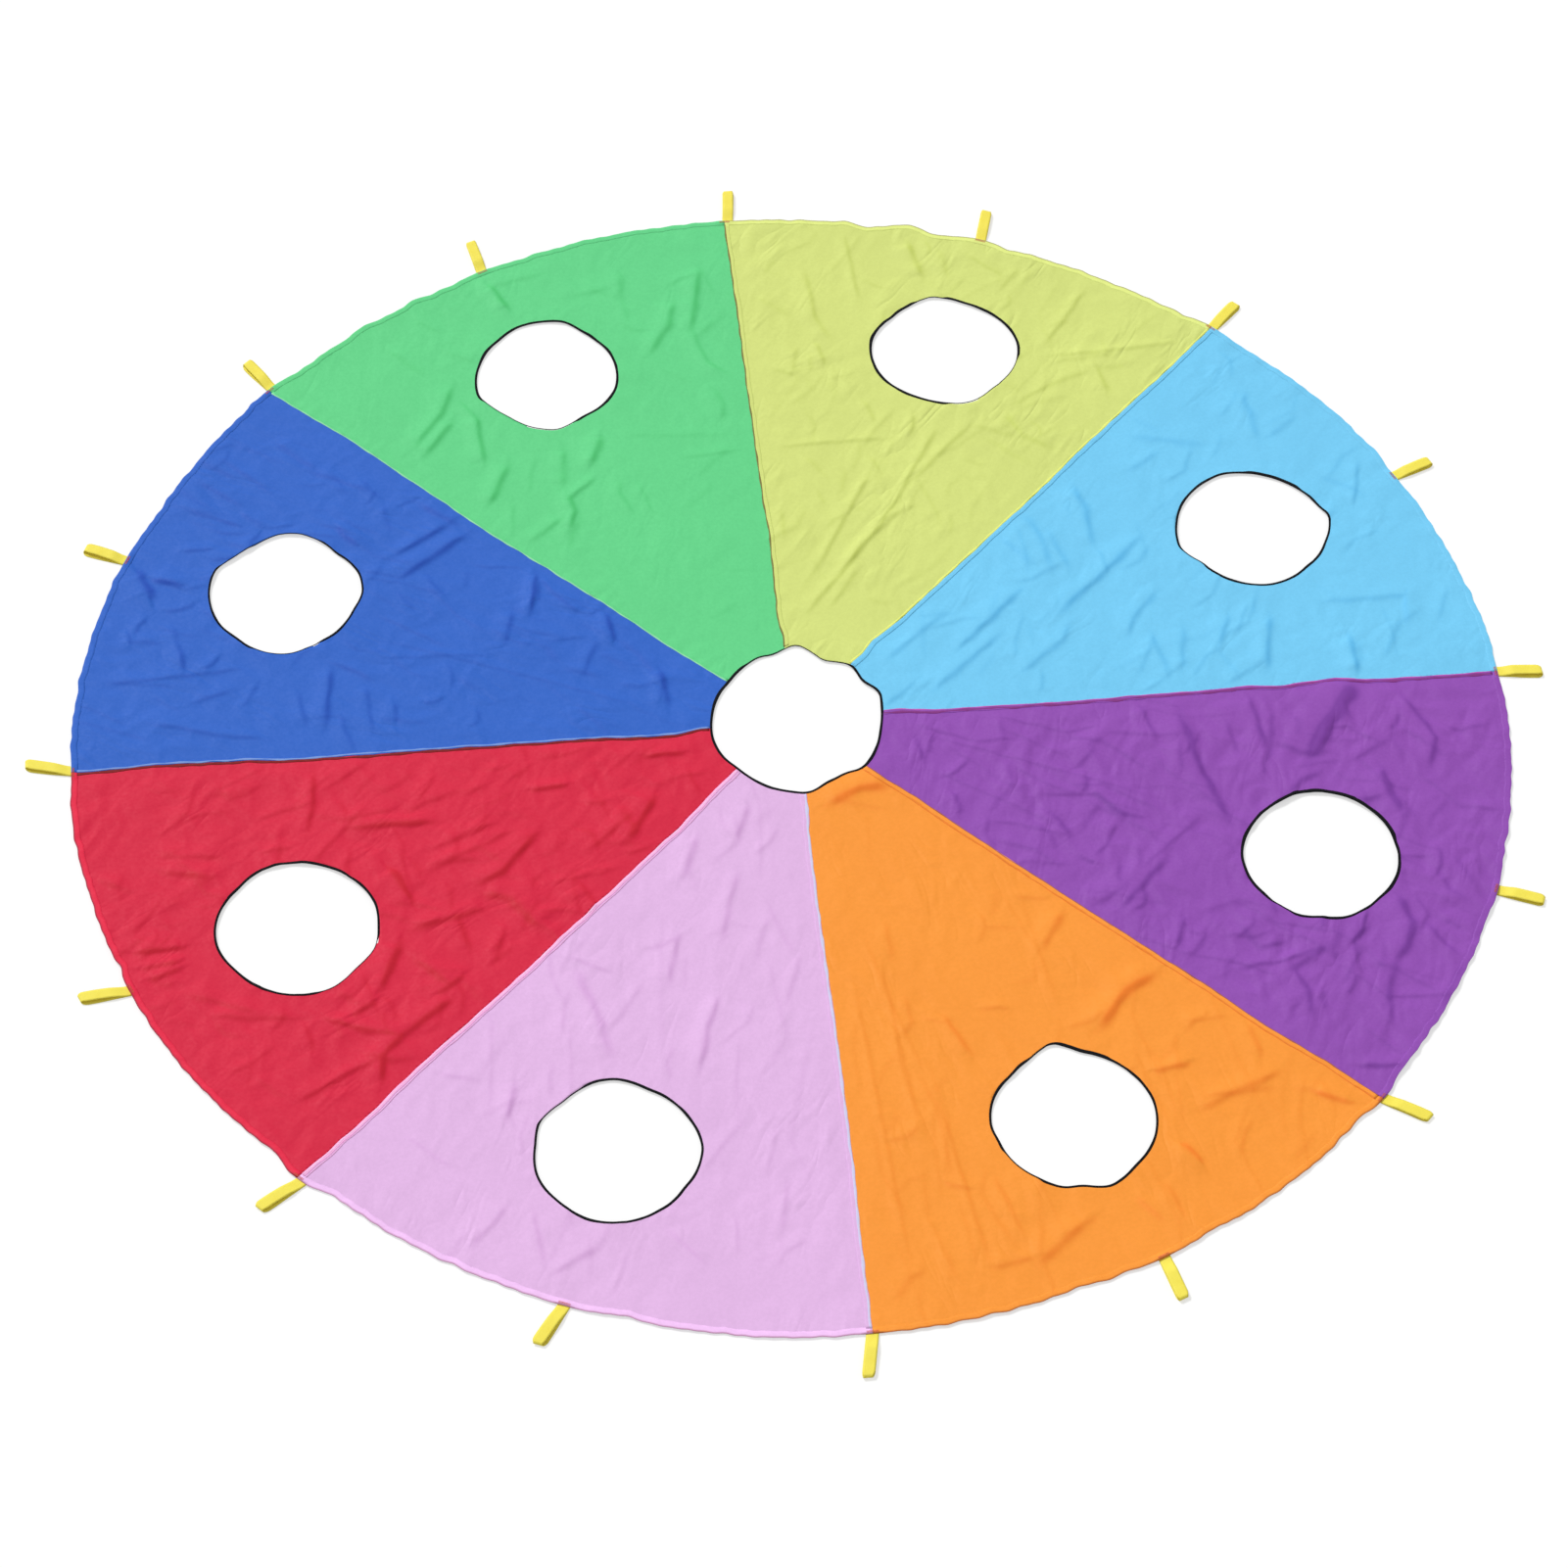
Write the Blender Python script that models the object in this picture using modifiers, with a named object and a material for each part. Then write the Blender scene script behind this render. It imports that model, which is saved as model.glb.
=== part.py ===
"""Play parachute laid out flat: eight cloth gores, a ball hole in each, bound edges and sixteen webbing handles.

Metres, +Z up. The origin is the canopy's centre on the ground. +X runs along the seam between the purple
and the sky blue gore, which is one half of the line that the canopy folds in half on. Gores and handles
are counted counterclockwise from +X, seen from above.
"""

import math

import bmesh
import bpy
from mathutils import Vector

# Canopy
CANOPY_RADIUS = 1.500
GORE_COUNT = 8
CLOTH_THICKNESS = 0.001
HEM_WIDTH = 0.018
HEM_THICKNESS = 0.003
FOLDED_EDGE = 0.003
NARROW_FELL = 0.005
MEDIUM_FELL = 0.010
WIDE_FELL = 0.015

# Holes and their binding tape
CENTRE_HOLE_RADIUS = 0.175
BALL_HOLE_RADIUS = 0.155
BALL_HOLE_FROM_RIM = 0.362
BINDING_WIDTH = 0.008
BINDING_TAPE = 0.0007
BINDING_ROUNDING = 0.0006

# Webbing handles
HANDLES_PER_GORE = 2
WEBBING_WIDTH = 0.025
WEBBING_THICKNESS = 0.0015
HANDLE_LENGTH = 0.095
HANDLE_LOOP_HEIGHT = 0.009
HANDLE_SEWN_LENGTH = 0.014
HANDLE_RISE_LENGTH = 0.025

# Fit
CLEARANCE = 0.0003
FOLD_HEIGHT = 0.010
CUT_OVERRUN = 0.010

# Segments of round stretches
RIM_SEGMENTS = 96
CENTRE_SEGMENTS = 48
BALL_HOLE_SEGMENTS = 32
LOOP_END_SEGMENTS = 8
RISE_SEGMENTS = 5

GORE_ANGLE = 2 * math.pi / GORE_COUNT
BACK_GORES = GORE_COUNT // 2
HANDLE_COUNT = GORE_COUNT * HANDLES_PER_GORE
BALL_HOLE_DISTANCE = CANOPY_RADIUS - BALL_HOLE_FROM_RIM

# Name, sRGB colour, and the width of the felled strip on the gore's first and last edge, counterclockwise
GORES = [
    ("sky_blue", (124, 207, 247), FOLDED_EDGE, NARROW_FELL),
    ("lime", (216, 227, 133), FOLDED_EDGE, MEDIUM_FELL),
    ("green", (108, 215, 143), FOLDED_EDGE, NARROW_FELL),
    ("blue", (65, 109, 202), FOLDED_EDGE, NARROW_FELL),
    ("red", (218, 56, 79), FOLDED_EDGE, FOLDED_EDGE),
    ("pink", (230, 187, 233), NARROW_FELL, WIDE_FELL),
    ("orange", (254, 158, 71), FOLDED_EDGE, MEDIUM_FELL),
    ("purple", (150, 89, 181), FOLDED_EDGE, NARROW_FELL),
]
BINDING_COLOUR = (32, 32, 36)
WEBBING_COLOUR = (244, 228, 84)

# How far each handle lies off its own radius, in degrees counterclockwise, from the +X handle on
HANDLE_SKEWS = [-5, -1, 1, 7, -7, -11, -11, -2, -13, -16, -12, -12, -11, -10, 12, 1]


def clear_scene():
    for thing in list(bpy.data.objects):
        bpy.data.objects.remove(thing, do_unlink=True)


def new_collection(name):
    collection = bpy.data.collections.new(name)
    bpy.context.scene.collection.children.link(collection)
    return collection


def linear(channel):
    share = channel / 255
    if share <= 0.04045:
        return share / 12.92
    return ((share + 0.055) / 1.055) ** 2.4


def cloth_material(name, colour, roughness):
    material = bpy.data.materials.new(name)
    material.use_nodes = True
    shader = material.node_tree.nodes["Principled BSDF"]
    shader.inputs["Base Color"].default_value = (*[linear(c) for c in colour], 1)
    shader.inputs["Roughness"].default_value = roughness
    shader.inputs["Metallic"].default_value = 0
    return material


def arc(radius, start, end, segments, centre=(0, 0)):
    """Points from angle start to angle end, both included."""
    steps = [start + (end - start) * i / segments for i in range(segments + 1)]
    return [(centre[0] + radius * math.cos(a), centre[1] + radius * math.sin(a)) for a in steps]


def circle(radius, segments, centre):
    return arc(radius, 0, 2 * math.pi, segments, centre)[:-1]


def flat_curve(name, outlines, thickness, collection):
    """A flat curve object, filled between its closed outlines and as thick as given about its own plane."""
    curve = bpy.data.curves.new(name, "CURVE")
    curve.dimensions = "2D"
    curve.fill_mode = "BOTH"
    curve.extrude = thickness / 2
    for outline in outlines:
        spline = curve.splines.new("POLY")
        spline.points.add(len(outline) - 1)
        for point, (x, y) in zip(spline.points, outline):
            point.co = (x, y, 0, 1)
        spline.use_cyclic_u = True
    thing = bpy.data.objects.new(name, curve)
    collection.objects.link(thing)
    return thing


def as_mesh(curve_object, collection):
    """The same solid as a mesh object whose caps are welded to its sides."""
    bpy.context.view_layer.update()
    evaluated = curve_object.evaluated_get(bpy.context.evaluated_depsgraph_get())
    mesh = bpy.data.meshes.new_from_object(evaluated)
    name = curve_object.name
    place = curve_object.matrix_world.copy()
    bpy.data.objects.remove(curve_object, do_unlink=True)
    shape = bmesh.new()
    shape.from_mesh(mesh)
    bmesh.ops.remove_doubles(shape, verts=shape.verts, dist=CLEARANCE / 10)
    bmesh.ops.recalc_face_normals(shape, faces=shape.faces)
    shape.to_mesh(mesh)
    shape.free()
    mesh.name = name
    thing = bpy.data.objects.new(name, mesh)
    thing.matrix_world = place
    collection.objects.link(thing)
    return thing


def as_guide(thing):
    thing.hide_render = True
    thing.display_type = "WIRE"
    return thing


def boolean(target, other, operation):
    modifier = target.modifiers.new(operation.lower(), "BOOLEAN")
    modifier.operation = operation
    modifier.solver = "EXACT"
    modifier.object = other


def along_edge(angle, inset, radius):
    """The angle at which a circle of this radius meets the line that runs beside the ray at angle, inset to its left."""
    return angle + math.asin(inset / radius)


def border_outline(first, first_fell, last_fell):
    """One gore's raised border: its hem between the felled strips on its two edges, which stop at the centre."""
    last = first + GORE_ANGLE
    gap = CLEARANCE / 2
    rim = CANOPY_RADIUS
    hem = CANOPY_RADIUS - HEM_WIDTH
    tail = CENTRE_HOLE_RADIUS + BINDING_WIDTH + CLEARANCE
    segments = RIM_SEGMENTS // GORE_COUNT

    def on_first(radius, inset):
        return along_edge(first, gap + inset, radius)

    def on_last(radius, inset):
        return along_edge(last, -gap - inset, radius)

    outline = arc(rim, on_first(rim, 0), on_last(rim, 0), segments)
    outline += arc(tail, on_last(tail, 0), on_last(tail, last_fell), 1)
    outline += arc(hem, on_last(hem, last_fell), on_first(hem, first_fell), segments)
    outline += arc(tail, on_first(tail, first_fell), on_first(tail, 0), 1)
    return outline


def panel_outlines(first):
    """One gore's single cloth: it ends inside the border on three sides and inside the centre binding."""
    last = first + GORE_ANGLE
    inset = CLEARANCE / 2 + FOLDED_EDGE / 2
    rim = CANOPY_RADIUS - HEM_WIDTH / 2
    centre = CENTRE_HOLE_RADIUS + BINDING_TAPE + CLEARANCE
    outline = arc(rim, along_edge(first, inset, rim), along_edge(last, -inset, rim), RIM_SEGMENTS // GORE_COUNT)
    outline += arc(
        centre,
        along_edge(last, -inset, centre),
        along_edge(first, inset, centre),
        CENTRE_SEGMENTS // GORE_COUNT,
    )
    hole = circle(BALL_HOLE_RADIUS + BINDING_TAPE + CLEARANCE, BALL_HOLE_SEGMENTS, ball_hole_centre(first))
    return [outline, hole]


def ball_hole_centre(first):
    middle = first + GORE_ANGLE / 2
    return (BALL_HOLE_DISTANCE * math.cos(middle), BALL_HOLE_DISTANCE * math.sin(middle))


def make_gore(index, parts, guides):
    name, colour, first_fell, last_fell = GORES[index]
    first = index * GORE_ANGLE
    panel = flat_curve(f"gore_{name}", panel_outlines(first), CLOTH_THICKNESS, parts)
    panel.location.z = HEM_THICKNESS / 2
    gore = as_mesh(panel, parts)
    border = flat_curve(f"border_{name}", [border_outline(first, first_fell, last_fell)], HEM_THICKNESS, guides)
    border.location.z = HEM_THICKNESS / 2
    boolean(gore, as_guide(as_mesh(border, guides)), "UNION")
    gore.data.materials.append(cloth_material(f"taffeta_{name}", colour, 0.55))
    return gore


def binding_profile(hole_radius):
    """The folded tape's section, as distance from the hole's middle and height, open away from the hole."""
    top = HEM_THICKNESS
    outside = hole_radius + BINDING_WIDTH
    inside = hole_radius + BINDING_TAPE
    rounding = BINDING_ROUNDING
    return [
        (hole_radius + rounding, top),
        (outside, top),
        (outside, top - BINDING_TAPE),
        (inside, top - BINDING_TAPE),
        (inside, BINDING_TAPE),
        (outside, BINDING_TAPE),
        (outside, 0),
        (hole_radius + rounding, 0),
        (hole_radius, rounding),
        (hole_radius, top - rounding),
    ]


def binding_ring(name, hole_radius, segments, material, collection):
    """The folded tape turned round the hole."""
    shape = bmesh.new()
    corners = [shape.verts.new((r, 0, z)) for r, z in binding_profile(hole_radius)]
    for here, there in zip(corners, corners[1:] + corners[:1]):
        shape.edges.new((here, there))
    mesh = bpy.data.meshes.new(name)
    shape.to_mesh(mesh)
    shape.free()
    mesh.materials.append(material)
    ring = bpy.data.objects.new(name, mesh)
    collection.objects.link(ring)
    turn = ring.modifiers.new("turn", "SCREW")
    turn.steps = segments
    turn.render_steps = segments
    turn.use_merge_vertices = True
    turn.merge_threshold = BINDING_ROUNDING / 10
    turn.use_smooth_shade = False
    return ring


def half_space(name, side, collection):
    """A cutter that leaves only the front half (side 1) or the back half (side -1) of what it cuts."""
    reach = CENTRE_HOLE_RADIUS + BINDING_WIDTH + CUT_OVERRUN
    height = HEM_THICKNESS + 2 * CUT_OVERRUN
    shape = bmesh.new()
    bmesh.ops.create_cube(shape, size=1)
    bmesh.ops.scale(shape, vec=(2 * reach, reach, height), verts=shape.verts)
    middle = Vector((0, side * (reach / 2 - CLEARANCE / 2), HEM_THICKNESS / 2))
    bmesh.ops.translate(shape, vec=middle, verts=shape.verts)
    mesh = bpy.data.meshes.new(name)
    shape.to_mesh(mesh)
    shape.free()
    cutter = bpy.data.objects.new(name, mesh)
    collection.objects.link(cutter)
    return as_guide(cutter)


def rise(start, end, low, high, segments):
    """Points along a strap that climbs from low to high and is level at both ends."""
    shares = [i / segments for i in range(segments + 1)]
    return [(start + (end - start) * s, low + (high - low) * s * s * (3 - 2 * s)) for s in shares]


def handle_outlines():
    """Side view of a flattened loop about its hinge: x away from the canopy, y up, its lower leg on the ground."""
    root = WEBBING_THICKNESS
    strap = WEBBING_THICKNESS
    tip = HANDLE_LOOP_HEIGHT / 2
    ground = -HEM_THICKNESS / 2
    far = HANDLE_LENGTH - root - tip
    sewn = HANDLE_SEWN_LENGTH
    spread = sewn + HANDLE_RISE_LENGTH
    bend = (far, ground + tip)
    top = ground + HANDLE_LOOP_HEIGHT
    quarter = math.pi / 2
    outer = arc(tip, -quarter, quarter, LOOP_END_SEGMENTS, bend)
    outer += reversed(rise(sewn, spread, root, top, RISE_SEGMENTS))
    outer += arc(root, quarter, 3 * quarter, LOOP_END_SEGMENTS)
    inner = arc(tip - strap, -quarter, quarter, LOOP_END_SEGMENTS, bend)
    inner += reversed(rise(sewn, spread, root - strap, top - strap, RISE_SEGMENTS))
    return [outer, inner]


def lean(thing, skew):
    """Slides each point of a handle along its hinge by its distance from it, so that the loop leaves at a slant."""
    for vertex in thing.data.vertices:
        vertex.co.z -= vertex.co.x * math.tan(skew)


def make_handle(index, material, collection):
    """A webbing loop whose origin lies on its hinge, just outside the hem."""
    angle = index * 2 * math.pi / HANDLE_COUNT
    reach = CANOPY_RADIUS + CLEARANCE + WEBBING_THICKNESS
    handle = flat_curve(f"handle_{index + 1:02d}", handle_outlines(), WEBBING_WIDTH, collection)
    handle.location = (reach * math.cos(angle), reach * math.sin(angle), HEM_THICKNESS / 2)
    handle.rotation_euler = (math.pi / 2, 0, angle)
    handle = as_mesh(handle, collection)
    lean(handle, math.radians(HANDLE_SKEWS[index % len(HANDLE_SKEWS)]))
    handle.data.materials.append(material)
    return handle


def hang_on(thing, hinge):
    """Parents a piece to the fold's empty and leaves it where it is."""
    bpy.context.view_layer.update()
    thing.parent = hinge
    thing.matrix_parent_inverse = hinge.matrix_world.inverted()


def make_parachute():
    clear_scene()
    parts = new_collection("play_parachute")
    guides = new_collection("cutters")
    fold = bpy.data.objects.new("fold_axis", None)
    fold.location = (0, 0, FOLD_HEIGHT)
    parts.objects.link(fold)
    tape = cloth_material("binding_tape", BINDING_COLOUR, 0.75)
    webbing = cloth_material("webbing", WEBBING_COLOUR, 0.7)

    for index, (name, _, _, _) in enumerate(GORES):
        gore = make_gore(index, parts, guides)
        ring = binding_ring(f"hole_binding_{name}", BALL_HOLE_RADIUS, BALL_HOLE_SEGMENTS, tape, parts)
        ring.location.x, ring.location.y = ball_hole_centre(index * GORE_ANGLE)
        if index < BACK_GORES:
            hang_on(gore, fold)
            hang_on(ring, fold)

    for name, side in (("front", 1), ("back", -1)):
        half = binding_ring(f"centre_binding_{name}", CENTRE_HOLE_RADIUS, CENTRE_SEGMENTS, tape, parts)
        boolean(half, half_space(f"cut_{name}", side, guides), "DIFFERENCE")
        if name == "back":
            hang_on(half, fold)

    for index in range(HANDLE_COUNT):
        handle = make_handle(index, webbing, parts)
        if 0 < index < HANDLE_COUNT // 2:
            hang_on(handle, fold)


make_parachute()
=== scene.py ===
"""Looks of a play parachute laid out flat: creased taffeta gores, felled seams, bound holes and webbing loops.

Every cloth piece is cut flat, as its pattern, and lay() then puts it on the ground: it gives the canopy its
uneven outlines, its creases and its puckers. Metres, +Z up, in the frame's own axes: +X runs along the seam
between the purple and the sky blue gore. Gores and handles are counted counterclockwise from +X.
"""

import functools
import math

import bmesh
import bpy
import numpy as np
from mathutils import Matrix, Vector


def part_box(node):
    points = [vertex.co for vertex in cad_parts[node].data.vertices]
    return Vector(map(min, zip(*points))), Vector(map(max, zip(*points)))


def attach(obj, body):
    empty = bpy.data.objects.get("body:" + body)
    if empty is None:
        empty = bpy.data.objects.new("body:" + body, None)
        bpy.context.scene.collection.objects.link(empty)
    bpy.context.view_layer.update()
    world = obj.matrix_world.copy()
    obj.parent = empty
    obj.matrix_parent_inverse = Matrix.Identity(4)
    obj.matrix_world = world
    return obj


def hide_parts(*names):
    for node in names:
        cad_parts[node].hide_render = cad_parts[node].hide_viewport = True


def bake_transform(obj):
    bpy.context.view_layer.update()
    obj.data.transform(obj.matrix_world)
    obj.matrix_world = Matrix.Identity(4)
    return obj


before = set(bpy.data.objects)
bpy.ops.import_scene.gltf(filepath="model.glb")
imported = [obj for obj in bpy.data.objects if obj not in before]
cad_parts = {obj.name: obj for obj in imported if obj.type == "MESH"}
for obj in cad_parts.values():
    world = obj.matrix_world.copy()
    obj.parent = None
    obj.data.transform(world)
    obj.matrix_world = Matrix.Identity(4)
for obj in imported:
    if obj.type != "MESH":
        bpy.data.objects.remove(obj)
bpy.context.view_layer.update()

# Sizes that the frame gives
GORES = ["sky_blue", "lime", "green", "blue", "red", "pink", "orange", "purple"]
GORE_ANGLE = 2 * math.pi / len(GORES)
HANDLE_COUNT = 16
HANDLE_ANGLE = 2 * math.pi / HANDLE_COUNT
TAPE_WIDTH = 0.008
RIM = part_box("gore_lime")[1].y
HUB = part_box("centre_binding_front")[1].x - TAPE_WIDTH
hole_low, hole_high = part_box("hole_binding_lime")
HOLE = (hole_high.x - hole_low.x) / 2 - TAPE_WIDTH
HOLE_DISTANCE = ((hole_low + hole_high) / 2).xy.length
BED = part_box("gore_lime")[1].z / 2
LOOP_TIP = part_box("handle_01")[1].x
LOOP_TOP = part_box("handle_01")[1].z

# Bodies, and the stretch beside the fold line in which the cloth bends from one half to the other
FRONT = "front_half"
BACK = "back_half"
BACK_GORES = 4
GORES_AT_THE_FOLD = ["sky_blue", "blue"]

# Cloth
CELL = 0.0042
CLOTH = 0.0004
SEAM_GAP = 0.0002
ROW_STEP = 0.006

# How much broader and higher folds lie than the tables of folds and creases say, and the cloth's highest point
FOLD_BREADTH = 1.08
FOLD_RISE = 1.25
HIGHEST = 0.009

# Hem: a band folded over the rim
HEM_WIDTH = 0.015
HEM_CLOTH = 0.0002
HEM_HALF = 0.00045
HEM_SHEET_EDGE = 0.007
HEM_SWELL_TOP = 0.0021
HEM_SWELL_UNDER = 0.0010
HEM_THREAD_RISE = 0.40
# Width of the painted shade along the outer fold of a hem
HEM_EDGE_SHADE_WIDTH = 0.0045

# Binding tape folded over a hole's edge
TAPE_CLOTH = 0.0006
TAPE_HALF = 0.0008

# Webbing loops
WEBBING_WIDTH = 0.025
WEBBING = 0.0012
LOOP_TAIL = 0.0062
ROOT_LOW = 0.0014
ROOT_HIGH = 0.0026
LOOP_GROUND = 0.0008
LOOP_RISE = (0.004, 0.036)
LOOP_CELL = 0.003
LOOP_TIP_NARROWER = 0.26
LOOP_TURN = 0.016
HINGE_OUT = 0.0018

# Thread
STITCH_PITCH = 0.0042
STITCH_LENGTH = 0.0031
STITCH_BLOCK = 18
THREAD = 0.00022

# What the cloth's sheen adds to its colour on level ground, and how much the painted shade in a fold darkens and
# saturates the colour
CLOTH_SHEEN = 0.030
FOLD_SHADE_POWER = 1.5


def mixture(colour, other, share):
    """A share of the other colour mixed into a colour, both sRGB."""
    return tuple(own + (added - own) * share for own, added in zip(colour, other))


def lit(colour, factor):
    """The colour under more or less light."""
    return tuple(min(255, channel * factor) for channel in colour)


# Colours as sRGB. Seams and hems show their gores' colours in shade, in light or mixed with another's, in round
# shares.
WHITE = (255, 255, 255)
TAPE_COLOUR = (24, 25, 30)
WEBBING_COLOUR = (250, 234, 88)
TACK_COLOUR = (214, 104, 76)
GORE_COLOURS = {
    "sky_blue": (124, 207, 247),
    "lime": (216, 227, 133),
    "green": (108, 215, 143),
    "blue": (65, 109, 202),
    "red": (218, 56, 79),
    "pink": (230, 187, 233),
    "orange": (254, 158, 71),
    "purple": (150, 89, 181),
}
SKY_BLUE, LIME, GREEN, BLUE, RED, PINK, ORANGE, PURPLE = GORE_COLOURS.values()
BRIGHT_HEMS = ["lime", "red", "pink"]
HEM_LIGHT = 1.08
# Painted shade along the outer fold of these gores' hems
HEM_EDGE_SHADES = {
    "lime": (145, 135, 95),
    "red": (150, 25, 55),
    "pink": (195, 140, 175),
    "orange": (185, 100, 45),
}
PLUM = lit(mixture(PURPLE, RED, 0.2), 0.85)
MAUVE = lit(mixture(PURPLE, RED, 0.3), 1.25)
# Painted shadow beside the sky blue gore's raised seam edge
SKY_SHADOW = lit(SKY_BLUE, 0.92)
BUTTER = lit(mixture(LIME, WEBBING_COLOUR, 0.2), 1.05)
# Painted shade beside the lime's felled strip, with a reddish-brown cast
OLIVE_SHADE = lit(mixture(LIME, RED, 0.1), 0.6)
MINT = mixture(GREEN, WHITE, 0.35)
PALE_BLUE = mixture(BLUE, WHITE, 0.35)
# Painted shadow under the blue gore's raised edge, on the red
MAROON_SHADOW = lit(RED, 0.6)
ROSE = lit(mixture(PINK, RED, 0.2), 1.15)
PALE_ROSE = mixture(ROSE, WHITE, 0.3)
# Painted shade in the groove of the pink strip
PINK_GROOVE_SHADE = mixture(PINK, RED, 0.1)
LILAC = mixture(mixture(PINK, SKY_BLUE, 0.3), WHITE, 0.3)
# Painted shade in the groove beside the orange strip
ORANGE_GROOVE_SHADE = lit(mixture(ORANGE, RED, 0.1), 0.97)
BRICK = lit(mixture(ORANGE, PURPLE, 0.5), 0.85)

# Each seam, counterclockwise from +X: the gore that carries it, from and to which distance its felled strip lies
# off the seam line in millimetres (counterclockwise is positive), the strip's colour, and its coloured edge lines
# as distance, width and colour, which may lie beside the seam on the next gore; some of these lines are painted
# shade in a groove or painted shadow beside a raised edge. The distances and widths were measured on the
# photograph and rounded.
SEAMS = [
    ("purple", -9, 0.5, PURPLE, [(-5, 7, PLUM), (0.5, 2.5, MAUVE)]),
    ("sky_blue", -10, 0.5, SKY_BLUE, [(-9, 3, SKY_SHADOW), (3, 5, BUTTER)]),
    ("lime", -9, 0.5, LIME, [(0.5, 3.5, OLIVE_SHADE)]),
    ("green", -6, 0.5, GREEN, [(0.5, 3, MINT)]),
    ("blue", -8, 0, BLUE, [(-3.5, 5, PALE_BLUE), (3.5, 7, MAROON_SHADOW)]),
    ("pink", -0.5, 8, ROSE, [(3, 3, PALE_ROSE), (11, 3, PINK_GROOVE_SHADE)]),
    ("pink", -12, 0.5, PINK, [(-2.5, 6, LILAC)]),
    ("orange", -9, 0.5, ORANGE, [(-10, 2.5, ORANGE_GROOVE_SHADE), (0.5, 2.5, BRICK)]),
]

# How far each seam wanders off its ray: distance from the middle in metres, millimetres counterclockwise. This and
# the outlines below were read off the photograph and have only the points that their shapes need.
SEAM_DRIFT = [
    [(0.22, 9), (0.30, 2), (0.60, -1), (0.88, 3), (0.94, 7), (1.04, 2), (1.155, 12), (1.22, 1), (1.48, 0)],
    [(0.22, 2), (0.27, 8), (0.36, 1), (0.80, -2), (1.04, 2), (1.30, -1), (1.48, 1)],
    [(0.22, -4), (0.28, 3), (0.52, -3), (0.62, 1), (0.95, 4), (1.20, 4), (1.48, 8)],
    [(0.22, 7), (0.33, 10), (0.50, 6), (0.83, 12), (1.10, 7), (1.27, 3), (1.37, 9), (1.48, 11)],
    [(0.20, 6), (0.25, 17), (0.31, 18), (0.40, 11), (0.80, 11), (1.03, 12), (1.15, 4), (1.33, 0), (1.43, 6)],
    [(0.22, -6), (0.36, 0), (0.90, -1), (1.13, -8), (1.33, -4), (1.48, -10)],
    [(0.22, 8), (0.30, 4), (0.55, 3), (0.75, 6), (1.12, 6), (1.24, 2), (1.48, 1)],
    [(0.22, 1), (0.32, 4), (0.45, 0), (0.75, -2), (1.08, -2), (1.22, -6), (1.36, -1), (1.48, -3)],
]

# How strongly the thread draws in the cloth along each seam
SEAM_PUCKERS = [1.0, 1.8, 0.7, 2.2, 1.2, 2.0, 0.7, 1.6]

# The rim's outline: direction in degrees, millimetres beyond the true circle
RIM_OUTLINE = [
    (5, 5), (12, 1), (25, 7), (32, 5), (36, 0), (45, -8), (54, -10), (68, -8), (84, -3), (100, 1), (108, -2),
    (116, -10), (131, -11), (142, -5), (152, -8), (162, 2), (176, 4), (188, 4), (192, -1), (206, -1), (215, -7),
    (224, -20), (234, -8), (246, -2), (256, 0), (264, 4), (272, 2), (284, -5), (300, -3), (308, -3), (314, -14),
    (324, -9), (336, -6), (350, 0),
]

# Tongues and notches of the rim: direction in degrees, millimetres outwards, breadth in degrees
RIM_TONGUES = [
    (65.5, -4, 0.9), (71.5, -4, 0.9), (74, 12, 1.4), (77.8, -8, 1.2), (79.6, 4, 0.8), (119.2, 8, 0.9),
    (124.5, 10, 1.1), (137, 8, 1.0), (146, -3, 1.0), (159.5, 5, 0.9), (200.5, -9, 0.9), (252, -6, 1.2),
    (285.5, -5, 1.2), (293, -5, 0.9), (297, -4, 0.9),
]

# Outlines of the openings: direction in degrees, distance from the opening's middle in millimetres
HUB_OUTLINE = [
    (5, 188), (18, 197), (30, 180), (45, 195), (63, 175), (83, 209), (98, 184), (106, 187), (135, 167), (165, 167),
    (205, 174), (224, 171), (246, 181), (271, 194), (286, 179), (302, 176), (312, 191), (345, 183),
]
HOLE_OUTLINES = {
    "sky_blue": [
        (12, 173), (20, 165), (42, 164), (70, 169), (105, 180), (120, 175), (165, 167), (190, 168), (212, 146),
        (240, 147), (272, 150), (313, 142), (345, 153),
    ],
    "lime": [
        (0, 177), (28, 165), (45, 155), (62, 152), (90, 160), (110, 145), (133, 138), (165, 149), (210, 155),
        (245, 159), (262, 165), (278, 178), (290, 179), (308, 171), (340, 178),
    ],
    "green": [
        (0, 142), (42, 137), (58, 141), (76, 157), (115, 161), (135, 155), (165, 161), (200, 175), (218, 166),
        (230, 163), (250, 171), (270, 175), (292, 151), (335, 149),
    ],
    "blue": [
        (0, 168), (20, 172), (45, 165), (75, 184), (90, 183), (112, 163), (130, 160), (145, 168), (180, 154),
        (224, 143), (258, 157), (272, 158), (303, 149), (343, 154),
    ],
    "red": [
        (10, 164), (45, 152), (75, 150), (115, 152), (140, 146), (180, 159), (195, 162), (222, 161), (258, 175),
        (293, 184), (312, 171), (335, 175), (352, 166),
    ],
    "pink": [
        (0, 152), (30, 148), (68, 154), (92, 174), (105, 176), (130, 169), (150, 179), (168, 170), (192, 172),
        (215, 165), (255, 161), (285, 150), (320, 141), (345, 148),
    ],
    "orange": [
        (8, 172), (35, 167), (74, 161), (93, 181), (112, 156), (130, 147), (160, 151), (182, 151), (195, 146),
        (240, 152), (258, 158), (272, 154), (290, 171), (314, 163), (342, 170),
    ],
    "purple": [
        (0, 145), (45, 141), (100, 147), (118, 143), (152, 153), (182, 170), (225, 179), (242, 184), (258, 178),
        (274, 179), (302, 161), (330, 156),
    ],
}

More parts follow.
